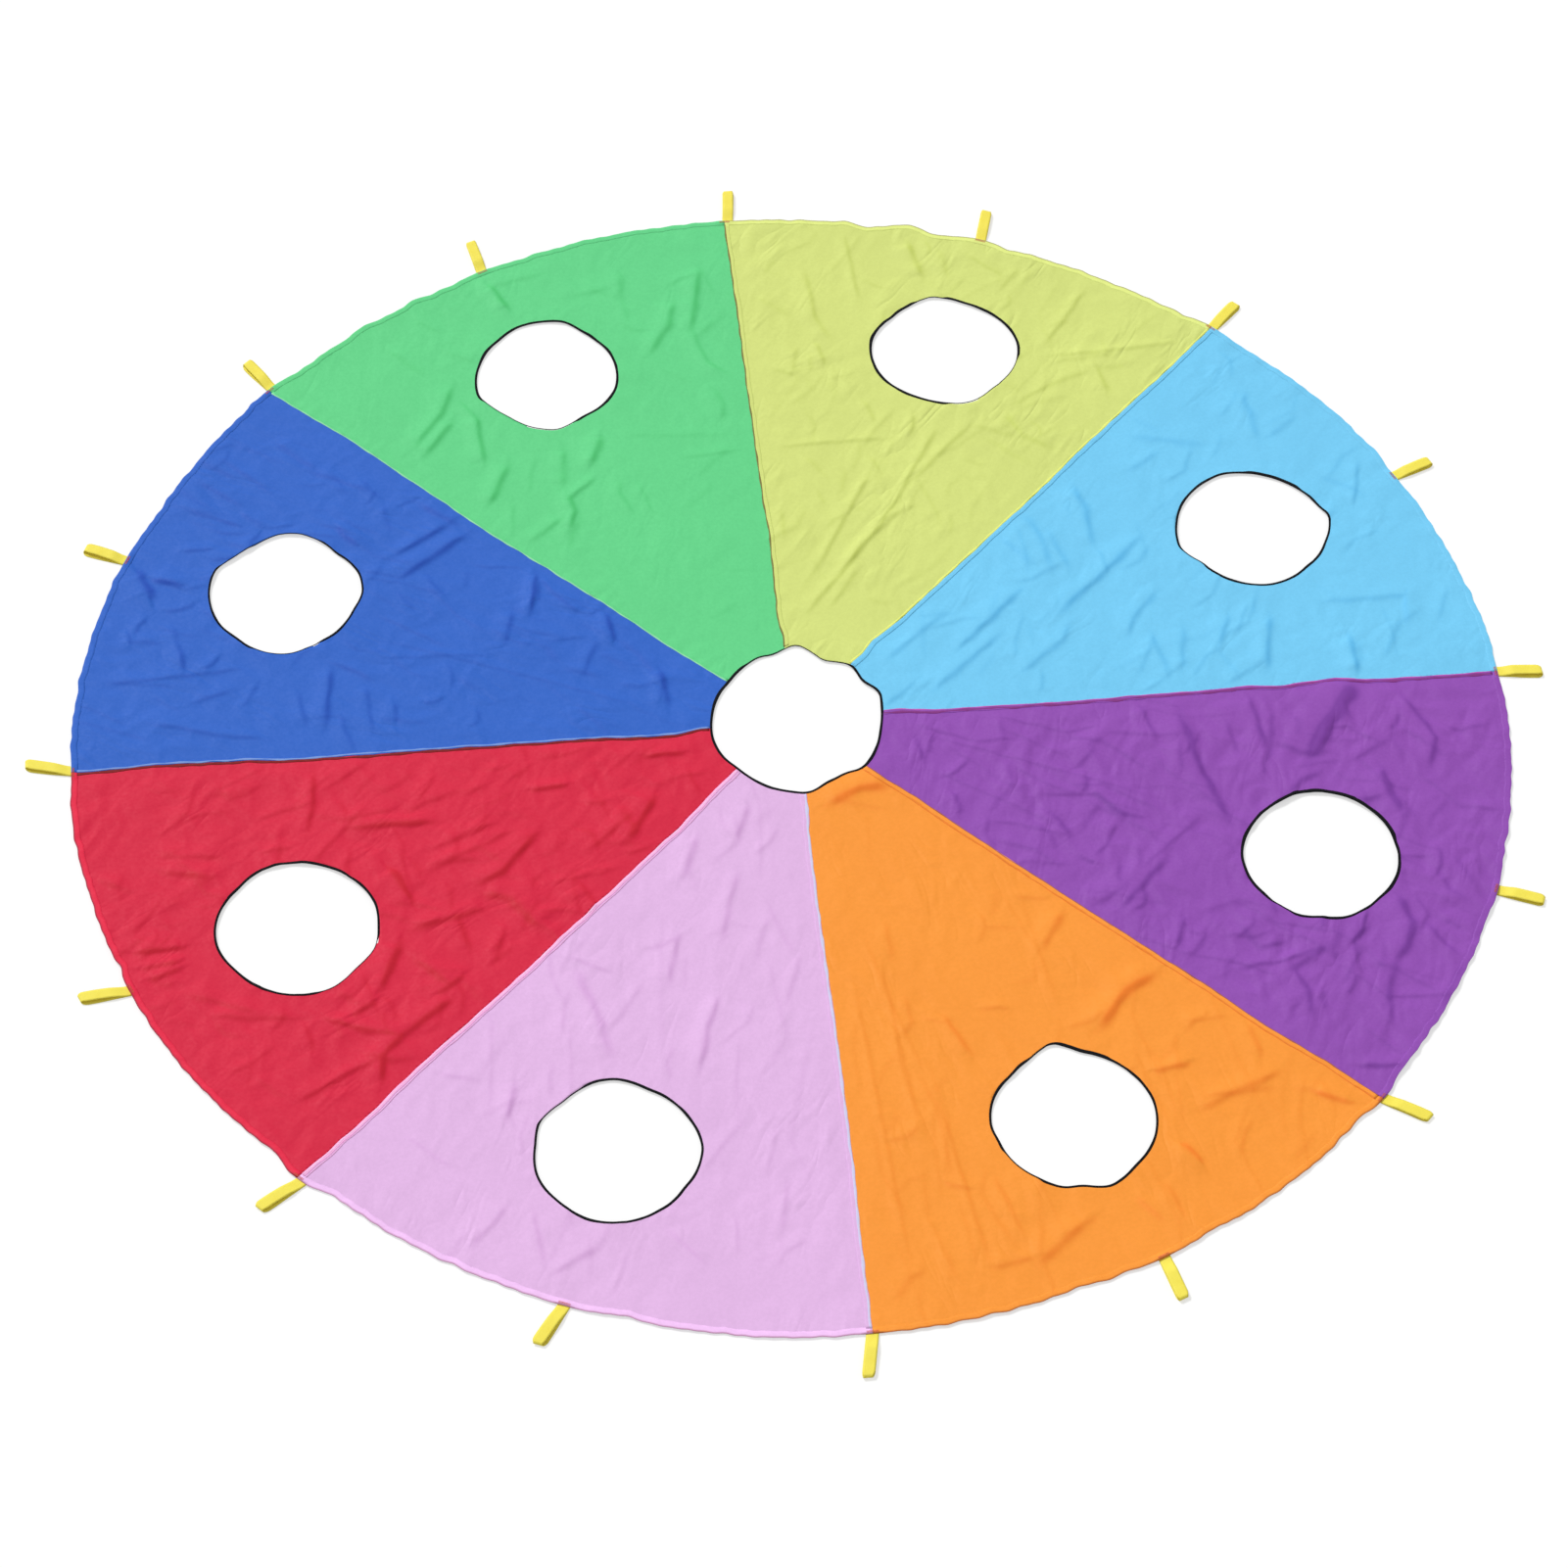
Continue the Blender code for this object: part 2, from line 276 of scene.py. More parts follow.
# The tape round each opening: how much of it usually shows in millimetres, then the stretches where it has rolled
# under or lies flat, from and to which direction in degrees and how much shows there
TAPE_SHOWN = {
    "hub": (5, [(45, 92, 1.2), (92, 118, 2.5)]),
    "sky_blue": (4.5, [(45, 85, 7.5), (192, 214, 1.5)]),
    "lime": (5.5, [(78, 104, 1), (270, 345, 1)]),
    "green": (5, [(205, 286, 0.8)]),
    "blue": (4, [(62, 142, 0.8), (243, 300, 1)]),
    "red": (4.5, [(284, 342, 0.8)]),
    "pink": (4.5, [(112, 150, 1.5)]),
    "orange": (4.5, [(55, 88, 7), (95, 112, 2.5), (205, 242, 2)]),
    "purple": (5.5, [(4, 105, 8), (225, 240, 2)]),
}
TAPE_EASE = 8
TAPE_NARROWEST = 0.0009

# Folds that stand out on each gore: the points that the fold runs through, in centimetres, then its width and
# height in millimetres
FOLDS = {
    "sky_blue": [
        ([(21, 15), (35, 27)], 8, 1.8), ([(36, 16), (53, 33)], 9, 3.0), ([(29, 5), (37, 12), (47, 21)], 9, 2.2),
        ([(58, 24), (67, 32), (81, 46)], 10, 3.2), ([(49, 9), (59, 17), (61, 22)], 9, 2.0),
        ([(73, 17), (75, 22), (81, 29)], 9, 2.2), ([(67, 61), (69, 53), (69, 43)], 11, 2.8),
        ([(55, 53), (58, 47), (59, 37)], 12, 2.0), ([(51, 47), (56, 40)], 11, 1.6), ([(60, 48), (63, 37)], 10, 1.6),
        ([(81, 65), (87, 69)], 9, 1.4), ([(83, 75), (99, 71)], 13, 1.4), ([(109, 85), (110, 71)], 11, 1.8),
        ([(113, 72), (119, 77)], 9, 1.2), ([(131, 62), (128, 50)], 6, 2.0), ([(123, 59), (131, 53)], 8, 1.2),
        ([(115, 23), (135, 23.4), (134, 13)], 9, 1.8), ([(104, 20), (101, 5)], 9, 3.2), ([(95, 20), (92, 13)], 9, 2.6),
        ([(85, 18), (83, 7)], 10, 1.8), ([(78, 17), (80, 5)], 9, 1.8), ([(120, 12), (120, 3)], 9, 3.4),
        ([(127, 7), (131, 15)], 9, 1.6), ([(74, 7), (78, 15)], 8, 1.4), ([(20, 3), (26, 8)], 8, 1.6),
    ],
    "lime": [
        ([(5, 29), (15, 41), (21, 50)], 6, 2.0), ([(14, 40), (24, 53), (32, 66)], 6, 2.3),
        ([(30, 63), (40, 81)], 6, 2.3), ([(21, 49), (29, 57)], 5, 1.6), ([(32, 65), (48, 82)], 6, 1.9),
        ([(4, 34), (11, 45), (27, 75)], 5, 1.1), ([(11, 31), (18, 41)], 6, 1.6), ([(9, 42), (24, 69)], 5, 1.0),
        ([(4, 78.4), (30, 79)], 5, 1.5), ([(26, 143), (27, 122)], 6, 1.8), ([(15.6, 132), (16.4, 117), (19, 110)], 8, 2.0),
        ([(16, 108), (17, 103)], 7, 2.2), ([(11, 107), (10, 101)], 7, 1.2), ([(40, 139), (42, 128)], 10, 3.0),
        ([(47, 135), (48, 128)], 9, 1.4), ([(54, 134), (61, 127)], 7, 1.8), ([(60, 123), (64, 128)], 7, 1.5),
        ([(79, 121), (73, 112), (67, 104)], 5, 2.2), ([(66, 100.6), (82, 101), (98, 102.6)], 5, 1.8),
        ([(69, 99), (83, 100)], 6, 1.2), ([(57, 86), (67, 92), (77, 96)], 7, 1.5), ([(78, 96), (79, 89)], 8, 2.2),
        ([(57, 84), (59, 77), (65, 73)], 9, 2.0), ([(49, 81), (57, 77)], 8, 1.4), ([(25, 89), (26, 85)], 7, 1.6),
        ([(35, 84), (34, 80)], 7, 1.8), ([(51, 77), (59, 69)], 9, 1.2), ([(5, 125), (11, 119)], 9, 1.2),
        ([(3, 58), (3, 52)], 7, 1.4),
    ],
    "green": [
        ([(-56, 133), (-52.6, 126)], 9, 3.8), ([(-8.4, 135), (-11, 120), (-12, 115)], 9, 3.4),
        ([(-15, 125), (-17, 117), (-22, 109)], 9, 3.0), ([(-12, 116), (-9, 105), (-5, 101)], 7, 1.8),
        ([(-66, 104), (-69, 95), (-76, 85)], 9, 3.0), ([(-67, 92), (-73, 83)], 9, 3.0),
        ([(-61.6, 93), (-60.6, 79)], 8, 3.2), ([(-64, 97), (-61, 91)], 7, 1.4), ([(-55.4, 78), (-60, 67)], 9, 3.2),
        ([(-34.6, 84), (-37, 77)], 9, 3.0), ([(-43, 81), (-44, 71)], 12, 1.8), ([(-37, 72), (-42.6, 67)], 6, 2.6),
        ([(-42.6, 67), (-41.6, 63), (-43, 58)], 7, 3.4), ([(-45, 61), (-51, 56)], 8, 1.8),
        ([(-37, 129), (-29, 131)], 8, 1.0), ([(-27, 135), (-26, 119)], 8, 0.9), ([(-29, 85), (-5, 83)], 8, 0.6),
        ([(-17, 77), (-4, 78)], 5, 0.9), ([(-27, 69), (-25, 61)], 6, 0.8), ([(-79, 115), (-72, 108)], 9, 1.2),
    ],
    "blue": [
        ([(-136, 52.6), (-134, 47)], 13, 4.5), ([(-132, 51.4), (-127, 49.4)], 8, 3.6), ([(-92, 62), (-89, 58)], 8, 3.2),
        ([(-81, 54), (-69, 62)], 8, 3.0), ([(-81, 47), (-73, 53), (-65, 59)], 10, 3.2), ([(-74, 68), (-67, 62)], 8, 2.2),
        ([(-51.4, 45), (-53, 35)], 7, 4.4), ([(-50, 44), (-45, 37), (-42, 34)], 5, 1.8), ([(-37, 32), (-36, 26)], 7, 4.0),
        ([(-96, 23), (-98, 7)], 9, 3.0), ([(-103, 16), (-102, 9)], 7, 1.6), ([(-89, 17), (-88, 5)], 7, 1.5),
        ([(-87, 31), (-65, 22), (-27, 5)], 4.5, 1.0), ([(-85, 37), (-71, 27)], 4.5, 1.2), ([(-86, 25), (-61, 24)], 4.5, 1.0),
        ([(-143, 23), (-125, 24), (-113, 25)], 6, 1.6), ([(-135, 12), (-119, 7), (-109, 5)], 6, 1.6),
        ([(-129, 37), (-127, 25)], 8, 1.4), ([(-122, 79), (-113, 71)], 7, 1.6), ([(-125, 71), (-113, 65)], 7, 1.8),
        ([(-117, 85), (-107, 75)], 7, 1.5), ([(-105, 89), (-97, 81)], 8, 1.4), ([(-99, 81), (-85, 73)], 8, 1.4),
        ([(-57, 35), (-59, 27)], 8, 1.8), ([(-43, 17), (-40, 25)], 8, 1.8), ([(-27, 16), (-26, 7)], 8, 3.0),
    ],
    "red": [
        ([(-100.6, -5), (-101, -13), (-102.6, -21)], 8, 2.8), ([(-94, -20), (-75, -20)], 7, 3.8),
        ([(-95, -18), (-85, -16)], 7, 1.8), ([(-55, -13.4), (-49, -13)], 6, 4.2), ([(-31, -6.6), (-24, -6.6)], 6, 3.8),
        ([(-132, -24), (-119, -25)], 7, 1.8), ([(-131, -28), (-122, -30)], 9, 3.4), ([(-86, -32), (-82, -40)], 10, 5.2),
        ([(-77, -27), (-65, -22)], 7, 1.6), ([(-79, -33), (-59, -23)], 7, 1.8), ([(-69, -37), (-63, -34), (-55, -24)], 9, 4.4),
        ([(-37, -28), (-31, -18)], 10, 5.0), ([(-45, -30), (-35, -21)], 8, 2.2), ([(-67, -39), (-61, -41), (-56, -49)], 12, 3.8),
        ([(-82, -47), (-67, -43)], 9, 3.4), ([(-89, -61), (-85, -51)], 11, 4.8), ([(-91, -65), (-94, -67)], 9, 3.0),
        ([(-137, -48), (-128, -47.4)], 7, 4.4), ([(-135, -52), (-129, -51)], 7, 3.6), ([(-134, -55), (-129, -53)], 7, 3.4),
        ([(-99, -68), (-92, -71), (-85, -73)], 7, 3.8), ([(-85, -72.6), (-89.4, -78), (-89.8, -84)], 8, 5.4),
        ([(-85, -73), (-75, -65)], 9, 4.2), ([(-106, -87), (-94, -80), (-89, -78)], 7, 2.6), ([(-104, -70), (-103, -75)], 7, 1.8),
        ([(-81, -55), (-75, -61)], 10, 3.4), ([(-77, -63), (-73, -60)], 9, 3.4), ([(-127, -59), (-113, -65)], 8, 2.0),
        ([(-123, -65), (-105, -67)], 8, 2.0), ([(-73, -46), (-71, -53)], 9, 2.6), ([(-48, -39), (-44, -46)], 8, 2.0),
    ],
    "pink": [
        ([(-12, -22), (-15, -30)], 9, 2.4), ([(-23, -29), (-27, -39)], 9, 2.2), ([(-15.6, -38), (-20.6, -56)], 9, 2.0),
        ([(-29, -54), (-32, -65)], 9, 2.4), ([(-34, -56), (-29, -54)], 8, 1.6), ([(-51, -60), (-47, -71), (-45, -83)], 13, 2.4),
        ([(-50, -57), (-43, -61)], 6, 1.5), ([(-22, -69), (-25, -77), (-28, -88)], 8, 2.8), ([(-37, -65), (-44, -75)], 6, 1.1),
        ([(-64, -87), (-66, -95)], 9, 2.4), ([(-77, -83), (-71, -85)], 7, 1.4), ([(-13, -115), (-15, -125)], 7, 1.4),
        ([(-5, -61), (-9, -73)], 6, 1.2), ([(-67, -115), (-74, -123)], 8, 1.8), ([(-62, -117), (-61, -129)], 8, 1.4),
        ([(-51, -126), (-59, -131)], 8, 1.6), ([(-85, -97), (-77, -105)], 6, 1.2), ([(-36, -123), (-30, -131)], 7, 1.4),
    ],
    "orange": [
        ([(66, -71), (59, -75), (52, -84)], 12, 5.2), ([(5, -22.4), (12, -18.6), (18, -18.6)], 12, 4.6),
        ([(5, -65), (7, -101), (9, -141)], 4.5, 1.0), ([(11, -61), (14, -105)], 4.5, 0.9), ([(18, -95), (24, -139)], 5, 1.3),
        ([(27, -117), (31, -131)], 6, 1.5), ([(49, -55), (44, -63)], 10, 2.4), ([(63, -95), (68, -94)], 8, 3.2),
        ([(65, -114), (67, -117)], 9, 3.6), ([(69, -105), (87, -97)], 9, 2.2), ([(71, -102), (85, -101)], 8, 1.4),
        ([(82, -87), (83, -93)], 8, 2.0), ([(43, -129), (33, -137)], 11, 2.4), ([(25, -137), (32, -136)], 8, 1.6),
        ([(93, -103), (99, -106)], 8, 3.2), ([(22, -79), (26, -88)], 8, 2.4), ([(55, -125), (58, -129)], 8, 1.6),
        ([(60, -123), (62, -129)], 8, 1.5), ([(13, -55), (13, -63)], 8, 1.2),
    ],
    "purple": [
        ([(80, -4), (82, -19), (86.5, -37)], 12, 4.4), ([(118.4, 0), (113, -8), (109, -13), (105, -20)], 18, 8.8),
        ([(96, -3), (97, -15)], 8, 3.2), ([(100, -7), (97, -20)], 9, 2.2), ([(90, -9), (91, -17)], 8, 1.6),
        ([(128, -5), (133, -17), (130, -25)], 9, 3.6), ([(123, -16), (115, -21)], 8, 1.8), ([(120, -24), (120.6, -31), (122, -36)], 12, 5.0),
        ([(72, -43), (61, -55)], 9, 3.4), ([(81, -33), (67, -45)], 6, 1.5), ([(73, -59), (71, -65)], 8, 3.2),
        ([(85, -61), (88, -67), (93, -66)], 8, 2.2), ([(81, -72), (92, -71), (101, -68)], 6, 2.2),
        ([(101, -68), (93, -73)], 10, 2.6), ([(93, -73), (95, -79), (94.6, -85)], 8, 3.4), ([(117, -57), (119, -64), (117, -69), (114, -73)], 11, 4.8),
        ([(114, -73), (110, -83)], 11, 2.6), ([(103, -97.6), (110, -98.4)], 7, 3.2), ([(131, -49), (133, -55)], 8, 1.6),
        ([(57, -53), (63, -49)], 8, 1.6), ([(25, -5), (51, -17), (77, -29)], 4.5, 1.1), ([(27, -15), (55, -35)], 4.5, 1.0),
        ([(31, -9), (47, -25)], 4.5, 0.9), ([(127, -75), (121, -85)], 8, 1.6),
    ],
}

# Small creases strewn over each gore: how many, their direction and its spread in degrees, shortest and longest
# length, width and height in millimetres
CREASES = {
    "sky_blue": [(30, 50, 25, 50, 150, 6, 1.1), (16, 85, 30, 30, 80, 7, 1.2)],
    "lime": [(36, 52, 18, 60, 200, 5, 0.8), (40, 100, 50, 20, 60, 6, 1.0)],
    "green": [(14, 65, 25, 40, 120, 7, 1.1), (12, 130, 40, 30, 90, 6, 0.8)],
    "blue": [(46, 153, 16, 60, 200, 5, 0.9), (30, 70, 40, 20, 70, 6, 1.6), (26, 138, 14, 40, 100, 7, 1.2)],
    "red": [(64, 20, 35, 40, 140, 6, 1.25), (70, 80, 60, 15, 60, 7, 1.45)],
    "pink": [(30, 65, 25, 50, 140, 6, 1.0), (14, 85, 5, 200, 450, 5, 0.6)],
    "orange": [(34, 277, 7, 150, 420, 5, 0.7), (30, 30, 40, 20, 90, 7, 1.1)],
    "purple": [(48, 333, 14, 80, 260, 5, 1.3), (64, 75, 38, 20, 90, 7, 2.6)],
}

# How uneven each gore lies between its folds, and the direction that the unevenness runs in, in degrees
CRINKLES = {
    "sky_blue": (0.6, 50), "lime": (0.5, 55), "green": (0.4, 70), "blue": (0.7, 150),
    "red": (0.9, 40), "pink": (0.45, 65), "orange": (0.5, 280), "purple": (1.8, 70),
}

# How strongly each gore is crumpled in the small
CRUMPLE = {
    "sky_blue": 0.9, "lime": 1.9, "green": 0.7, "blue": 1.6, "red": 1.3, "pink": 1.0, "orange": 1.1, "purple": 1.6,
}

# How far each handle's upper leg has slipped off its lower one, in millimetres counterclockwise
LEG_OFFSETS = [6, 2, 2, 0, 0, 1, -5, -6, -5, -6, -5, -4, 0, 0, 0, 3]

# Light comes over the canopy's far left edge
SUN_AZIMUTH = 125
SUN_ELEVATION = 45
SUN_SHARE = 0.54
SUN_ANGLE = 14

# Camera, from the rim and the holes in the photograph's own pixels
PHOTO_SIZE = 1601
CAMERA_DISTANCE = 9.335
CAMERA_AZIMUTH = -6.6
CAMERA_ELEVATION = 50.52
CAMERA_ROLL = 1.10
CAMERA_FOCAL_PIXELS = 4551
CANOPY_CENTRE_PIXEL = (809.4, 736.8)
SENSOR = 36


def eased(share):
    """0 below 0, 1 above 1, and level at both ends."""
    share = np.clip(share, 0, 1)
    return share * share * (3 - 2 * share)


@functools.lru_cache(maxsize=None)
def shuffle(seed):
    return np.random.RandomState(seed).permutation(256)


def noise(x, y, seed):
    """A smooth random field, about -0.7 to 0.7, whose swells are one unit across."""
    shuffled = shuffle(seed)
    column = np.floor(x).astype(int)
    row = np.floor(y).astype(int)
    u = x - column
    v = y - row

    def corner(right, up):
        turn = shuffled[(shuffled[(column + right) & 255] + row + up) & 255] * (2 * math.pi / 256)
        return np.cos(turn) * (u - right) + np.sin(turn) * (v - up)

    fade_u = u * u * u * (u * (6 * u - 15) + 10)
    fade_v = v * v * v * (v * (6 * v - 15) + 10)
    low = corner(0, 0) * (1 - fade_u) + corner(1, 0) * fade_u
    high = corner(0, 1) * (1 - fade_u) + corner(1, 1) * fade_u
    return low * (1 - fade_v) + high * fade_v


def along_outline(outline, degrees, rounding=3):
    """A drawn outline's value in each direction, in metres, with its corners rounded by so many degrees."""
    at, value = zip(*outline)
    spread = (-rounding, 0, rounding)
    return sum(np.interp(degrees + turn, at, value, period=360) for turn in spread) / len(spread) / 1000


def rim_push(degrees):
    """How far the rim lies beyond its true circle in each direction."""
    push = along_outline(RIM_OUTLINE, degrees, 1)
    for direction, out, breadth in RIM_TONGUES:
        turn = np.mod(degrees - direction + 180, 360) - 180
        push += out / 1000 * np.exp(-((turn / breadth) ** 2))
    ripple = 0.0030 * noise(degrees / 2.6, degrees * 0, 11) + 0.0045 * noise(degrees / 1.15, degrees * 0, 12)
    return push + ripple


def tape_shown(opening, turn):
    """How much of an opening's tape shows in each direction, in metres."""
    degrees = np.mod(np.degrees(turn), 360)
    usual, stretches = TAPE_SHOWN[opening]
    shown = np.full_like(degrees, usual)
    for first, last, width in stretches:
        inside = eased((degrees - first) / TAPE_EASE + 0.5) * eased((last - degrees) / TAPE_EASE + 0.5)
        shown += (width - usual) * inside
    uneven = 1 + 0.45 * noise(3.3 * np.cos(turn) + 7, 3.3 * np.sin(turn) + usual, 15)
    return np.clip(1.15 * shown * uneven / 1000, TAPE_NARROWEST, TAPE_WIDTH)


def handle_slope(index):
    """How steeply a handle leaves its radius: where the middle of its box lies, seen from its hinge."""
    low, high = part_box(f"handle_{index + 1:02d}")
    middle = (low + high) / 2
    c = math.cos(index * HANDLE_ANGLE)
    s = math.sin(index * HANDLE_ANGLE)
    return (middle.y * c - middle.x * s) / (middle.x * c + middle.y * s - RIM - HINGE_OUT)


def hole_centre(index):
    angle = (index + 0.5) * GORE_ANGLE
    return HOLE_DISTANCE * math.cos(angle), HOLE_DISTANCE * math.sin(angle)


def from_handle(angle):
    """Distance along the rim to the nearest handle's middle."""
    turn = np.mod(angle + HANDLE_ANGLE / 2, HANDLE_ANGLE) - HANDLE_ANGLE / 2
    return np.abs(turn) * RIM


def settle(x, y):
    """Where points of the flat pattern lie on the ground: seams wander, and rim and openings lose their roundness."""
    radius = np.hypot(x, y)
    angle = np.arctan2(y, x)
    degrees = np.degrees(angle)
    dx = np.zeros_like(x)
    dy = np.zeros_like(y)
    for index, drift in enumerate(SEAM_DRIFT):
        c = math.cos(index * GORE_ANGLE)
        s = math.sin(index * GORE_ANGLE)
        along = x * c + y * s
        off = np.abs(y * c - x * s)
        reach = np.clip(along * 0.36, 0.01, 0.14)
        at, value = zip(*drift)
        tug = 0.0024 * noise(along / 0.05, along * 0 + index, 13) * (1 - eased(off / 0.05))
        push = (np.interp(along, at, value) / 1000 * (1 - eased(off / reach)) + tug) * (along > 0)
        dx -= s * push
        dy += c * push
    calm = 0.15 + 0.85 * eased((from_handle(angle) - 0.02) / 0.06)
    push = rim_push(np.mod(degrees, 360)) * calm * eased((radius - 1.28) / (RIM - 1.28))
    push += (along_outline(HUB_OUTLINE, degrees) - HUB) * (1 - eased((radius - HUB) / 0.17))
    dx += push * np.cos(angle)
    dy += push * np.sin(angle)
    for index, name in enumerate(GORES):
        cx, cy = hole_centre(index)
        away = np.hypot(x - cx, y - cy)
        near = away < HOLE + 0.14
        turn = np.arctan2(y[near] - cy, x[near] - cx)
        push = along_outline(HOLE_OUTLINES[name], np.degrees(turn)) - HOLE
        push *= 1 - eased((away[near] - HOLE) / 0.13)
        dx[near] += push * np.cos(turn)
        dy[near] += push * np.sin(turn)
    return x + dx, y + dy


def strewn_creases():
    """The small creases as kinked lines, in the same form as FOLDS."""
    draw = np.random.RandomState(7)
    strewn = {name: [] for name in GORES}
    for index, name in enumerate(GORES):
        for count, direction, spread, shortest, longest, width, height in CREASES[name]:
            for _ in range(count):
                angle = (index + draw.uniform(0.06, 0.94)) * GORE_ANGLE
                distance = math.sqrt(draw.uniform(0.26 ** 2, 1.46 ** 2))
                along = math.radians(draw.normal(direction, spread))
                length = draw.uniform(shortest, longest) / 1000
                kink = draw.normal(0, 0.10) * length
                middle = np.array([distance * math.cos(angle), distance * math.sin(angle)])
                way = np.array([math.cos(along), math.sin(along)])
                side = np.array([-way[1], way[0]])
                bent = middle + way * length * draw.uniform(-0.2, 0.2) + side * kink
                line = [middle - way * length / 2, bent, middle + way * length / 2]
                strength = draw.uniform(0.35, 1.15)
                strewn[name].append(([tuple(point * 100) for point in line], width * draw.uniform(0.8, 1.3), height * strength))
    return strewn


ALL_FOLDS = strewn_creases()
for gore_name, folds in FOLDS.items():
    ALL_FOLDS[gore_name] = ALL_FOLDS[gore_name] + folds


def across_line(x, y, line):
    """Signed distance of points from a kinked line, and their place along it in metres."""
    nearest = np.full_like(x, 1e9)
    signed = np.zeros_like(x)
    place_along = np.zeros_like(x)
    run = 0.0
    for (x0, y0), (x1, y1) in zip(line, line[1:]):
        length = math.hypot(x1 - x0, y1 - y0)
        ux, uy = (x1 - x0) / length, (y1 - y0) / length
        along = (x - x0) * ux + (y - y0) * uy
        off = (y - y0) * ux - (x - x0) * uy
        held = np.clip(along, 0, length)
        reach = np.hypot(along - held, off)
        closer = reach < nearest
        nearest = np.where(closer, reach, nearest)
        signed = np.where(closer, np.where(off < 0, -reach, reach), signed)
        place_along = np.where(closer, run + held, place_along)
        run += length
    return signed, place_along, run


def fold_relief(x, y):
    """Height of all folds, steep on the side away from the light and gentle on the side towards it, and how much
    painted shade each point gets, strongest in a fold's steep side."""
    height = np.zeros_like(x)
    fold_shade_amount = np.zeros_like(x)
    light = (math.cos(math.radians(SUN_AZIMUTH)), math.sin(math.radians(SUN_AZIMUTH)))
    low_x, high_x, low_y, high_y = x.min(), x.max(), y.min(), y.max()
    for index, name in enumerate(GORES):
        start, end = index * GORE_ANGLE, (index + 1) * GORE_ANGLE
        for number, (line, width, tall) in enumerate(ALL_FOLDS[name]):
            points = [(px / 100, py / 100) for px, py in line]
            width, tall = width * FOLD_BREADTH, tall * FOLD_RISE
            spare = 0.004 * width + 0.02
            left, right = min(p[0] for p in points) - spare, max(p[0] for p in points) + spare
            under, over = min(p[1] for p in points) - spare, max(p[1] for p in points) + spare
            if right < low_x or left > high_x or over < low_y or under > high_y:
                continue
            near = np.nonzero((x > left) & (x < right) & (y > under) & (y < over))[0]
            if not len(near):
                continue
            qx, qy = x[near], y[near]
            wobble = 0.0035 * noise(qx / 0.045 + number, qy / 0.045, 3)
            off, along, run = across_line(qx, qy, points)
            off = off + wobble
            towards_light = -(points[-1][1] - points[0][1]) * light[0] + (points[-1][0] - points[0][0]) * light[1]
            side = off if towards_light > 0 else -off
            broad = width / 1000 * (1.0 + 0.5 * noise(along / 0.05 + number, along * 0, 4))
            end_share = 0.24 * run + 0.006
            taper = eased((along + 0.012) / end_share) * eased((run + 0.012 - along) / end_share)
            swell = taper * (1 + 0.5 * noise(along / 0.04 + number, along * 0 + 5, 6))
            first = qy * math.cos(start) - qx * math.sin(start)
            last = qx * math.sin(end) - qy * math.cos(end)
            swell *= eased((np.minimum(first, last) + 0.010) / 0.014)
            spread = np.where(side > 0, broad * 2.6, broad * 0.9)
            height[near] += tall / 1000 * swell * np.exp(-((side / spread) ** 2))
            # Painted shade, strongest on the fold's steep side away from the light
            fold_shade_amount[near] += tall / 5 * swell * np.exp(-(((side + 0.6 * broad) / (0.7 * broad)) ** 2))
    return height, fold_shade_amount


def crinkles(x, y):
    """Low unevenness all over each gore, calm at its seams."""
    height = np.zeros_like(x)
    angle = np.mod(np.arctan2(y, x), 2 * math.pi)
    for index, name in enumerate(GORES):
        inside = (angle >= index * GORE_ANGLE) & (angle < (index + 1) * GORE_ANGLE)
        px, py = x[inside], y[inside]
        strength, direction = CRINKLES[name]
        c = math.cos(math.radians(direction))
        s = math.sin(math.radians(direction))
        wx = px + 0.035 * noise(px / 0.11, py / 0.11, 20 + index)
        wy = py + 0.035 * noise(px / 0.11, py / 0.11, 40 + index)
        u = wx * c + wy * s
        v = wy * c - wx * s
        first = np.abs(noise(u / 0.17, v / 0.075, 60 + index))
        second = np.abs(noise((u + v) / 0.10, (v - u) / 0.075, 70 + index))
        fine = np.abs(noise(u / 0.06, v / 0.028, 80 + index))
        patches = eased(0.5 + 1.2 * noise(px / 0.21, py / 0.21, 100 + index))
        start = index * GORE_ANGLE
        off_first = py * math.cos(start) - px * math.sin(start)
        end = start + GORE_ANGLE
        off_last = px * math.sin(end) - py * math.cos(end)
        window = eased(np.minimum(off_first, off_last) / 0.05)
        facets = np.clip(0.45 + first - second, 0, 2)
        height[inside] = strength * (0.0042 * facets + 0.0010 * fine) * (0.4 + 0.6 * patches) * window
    return height


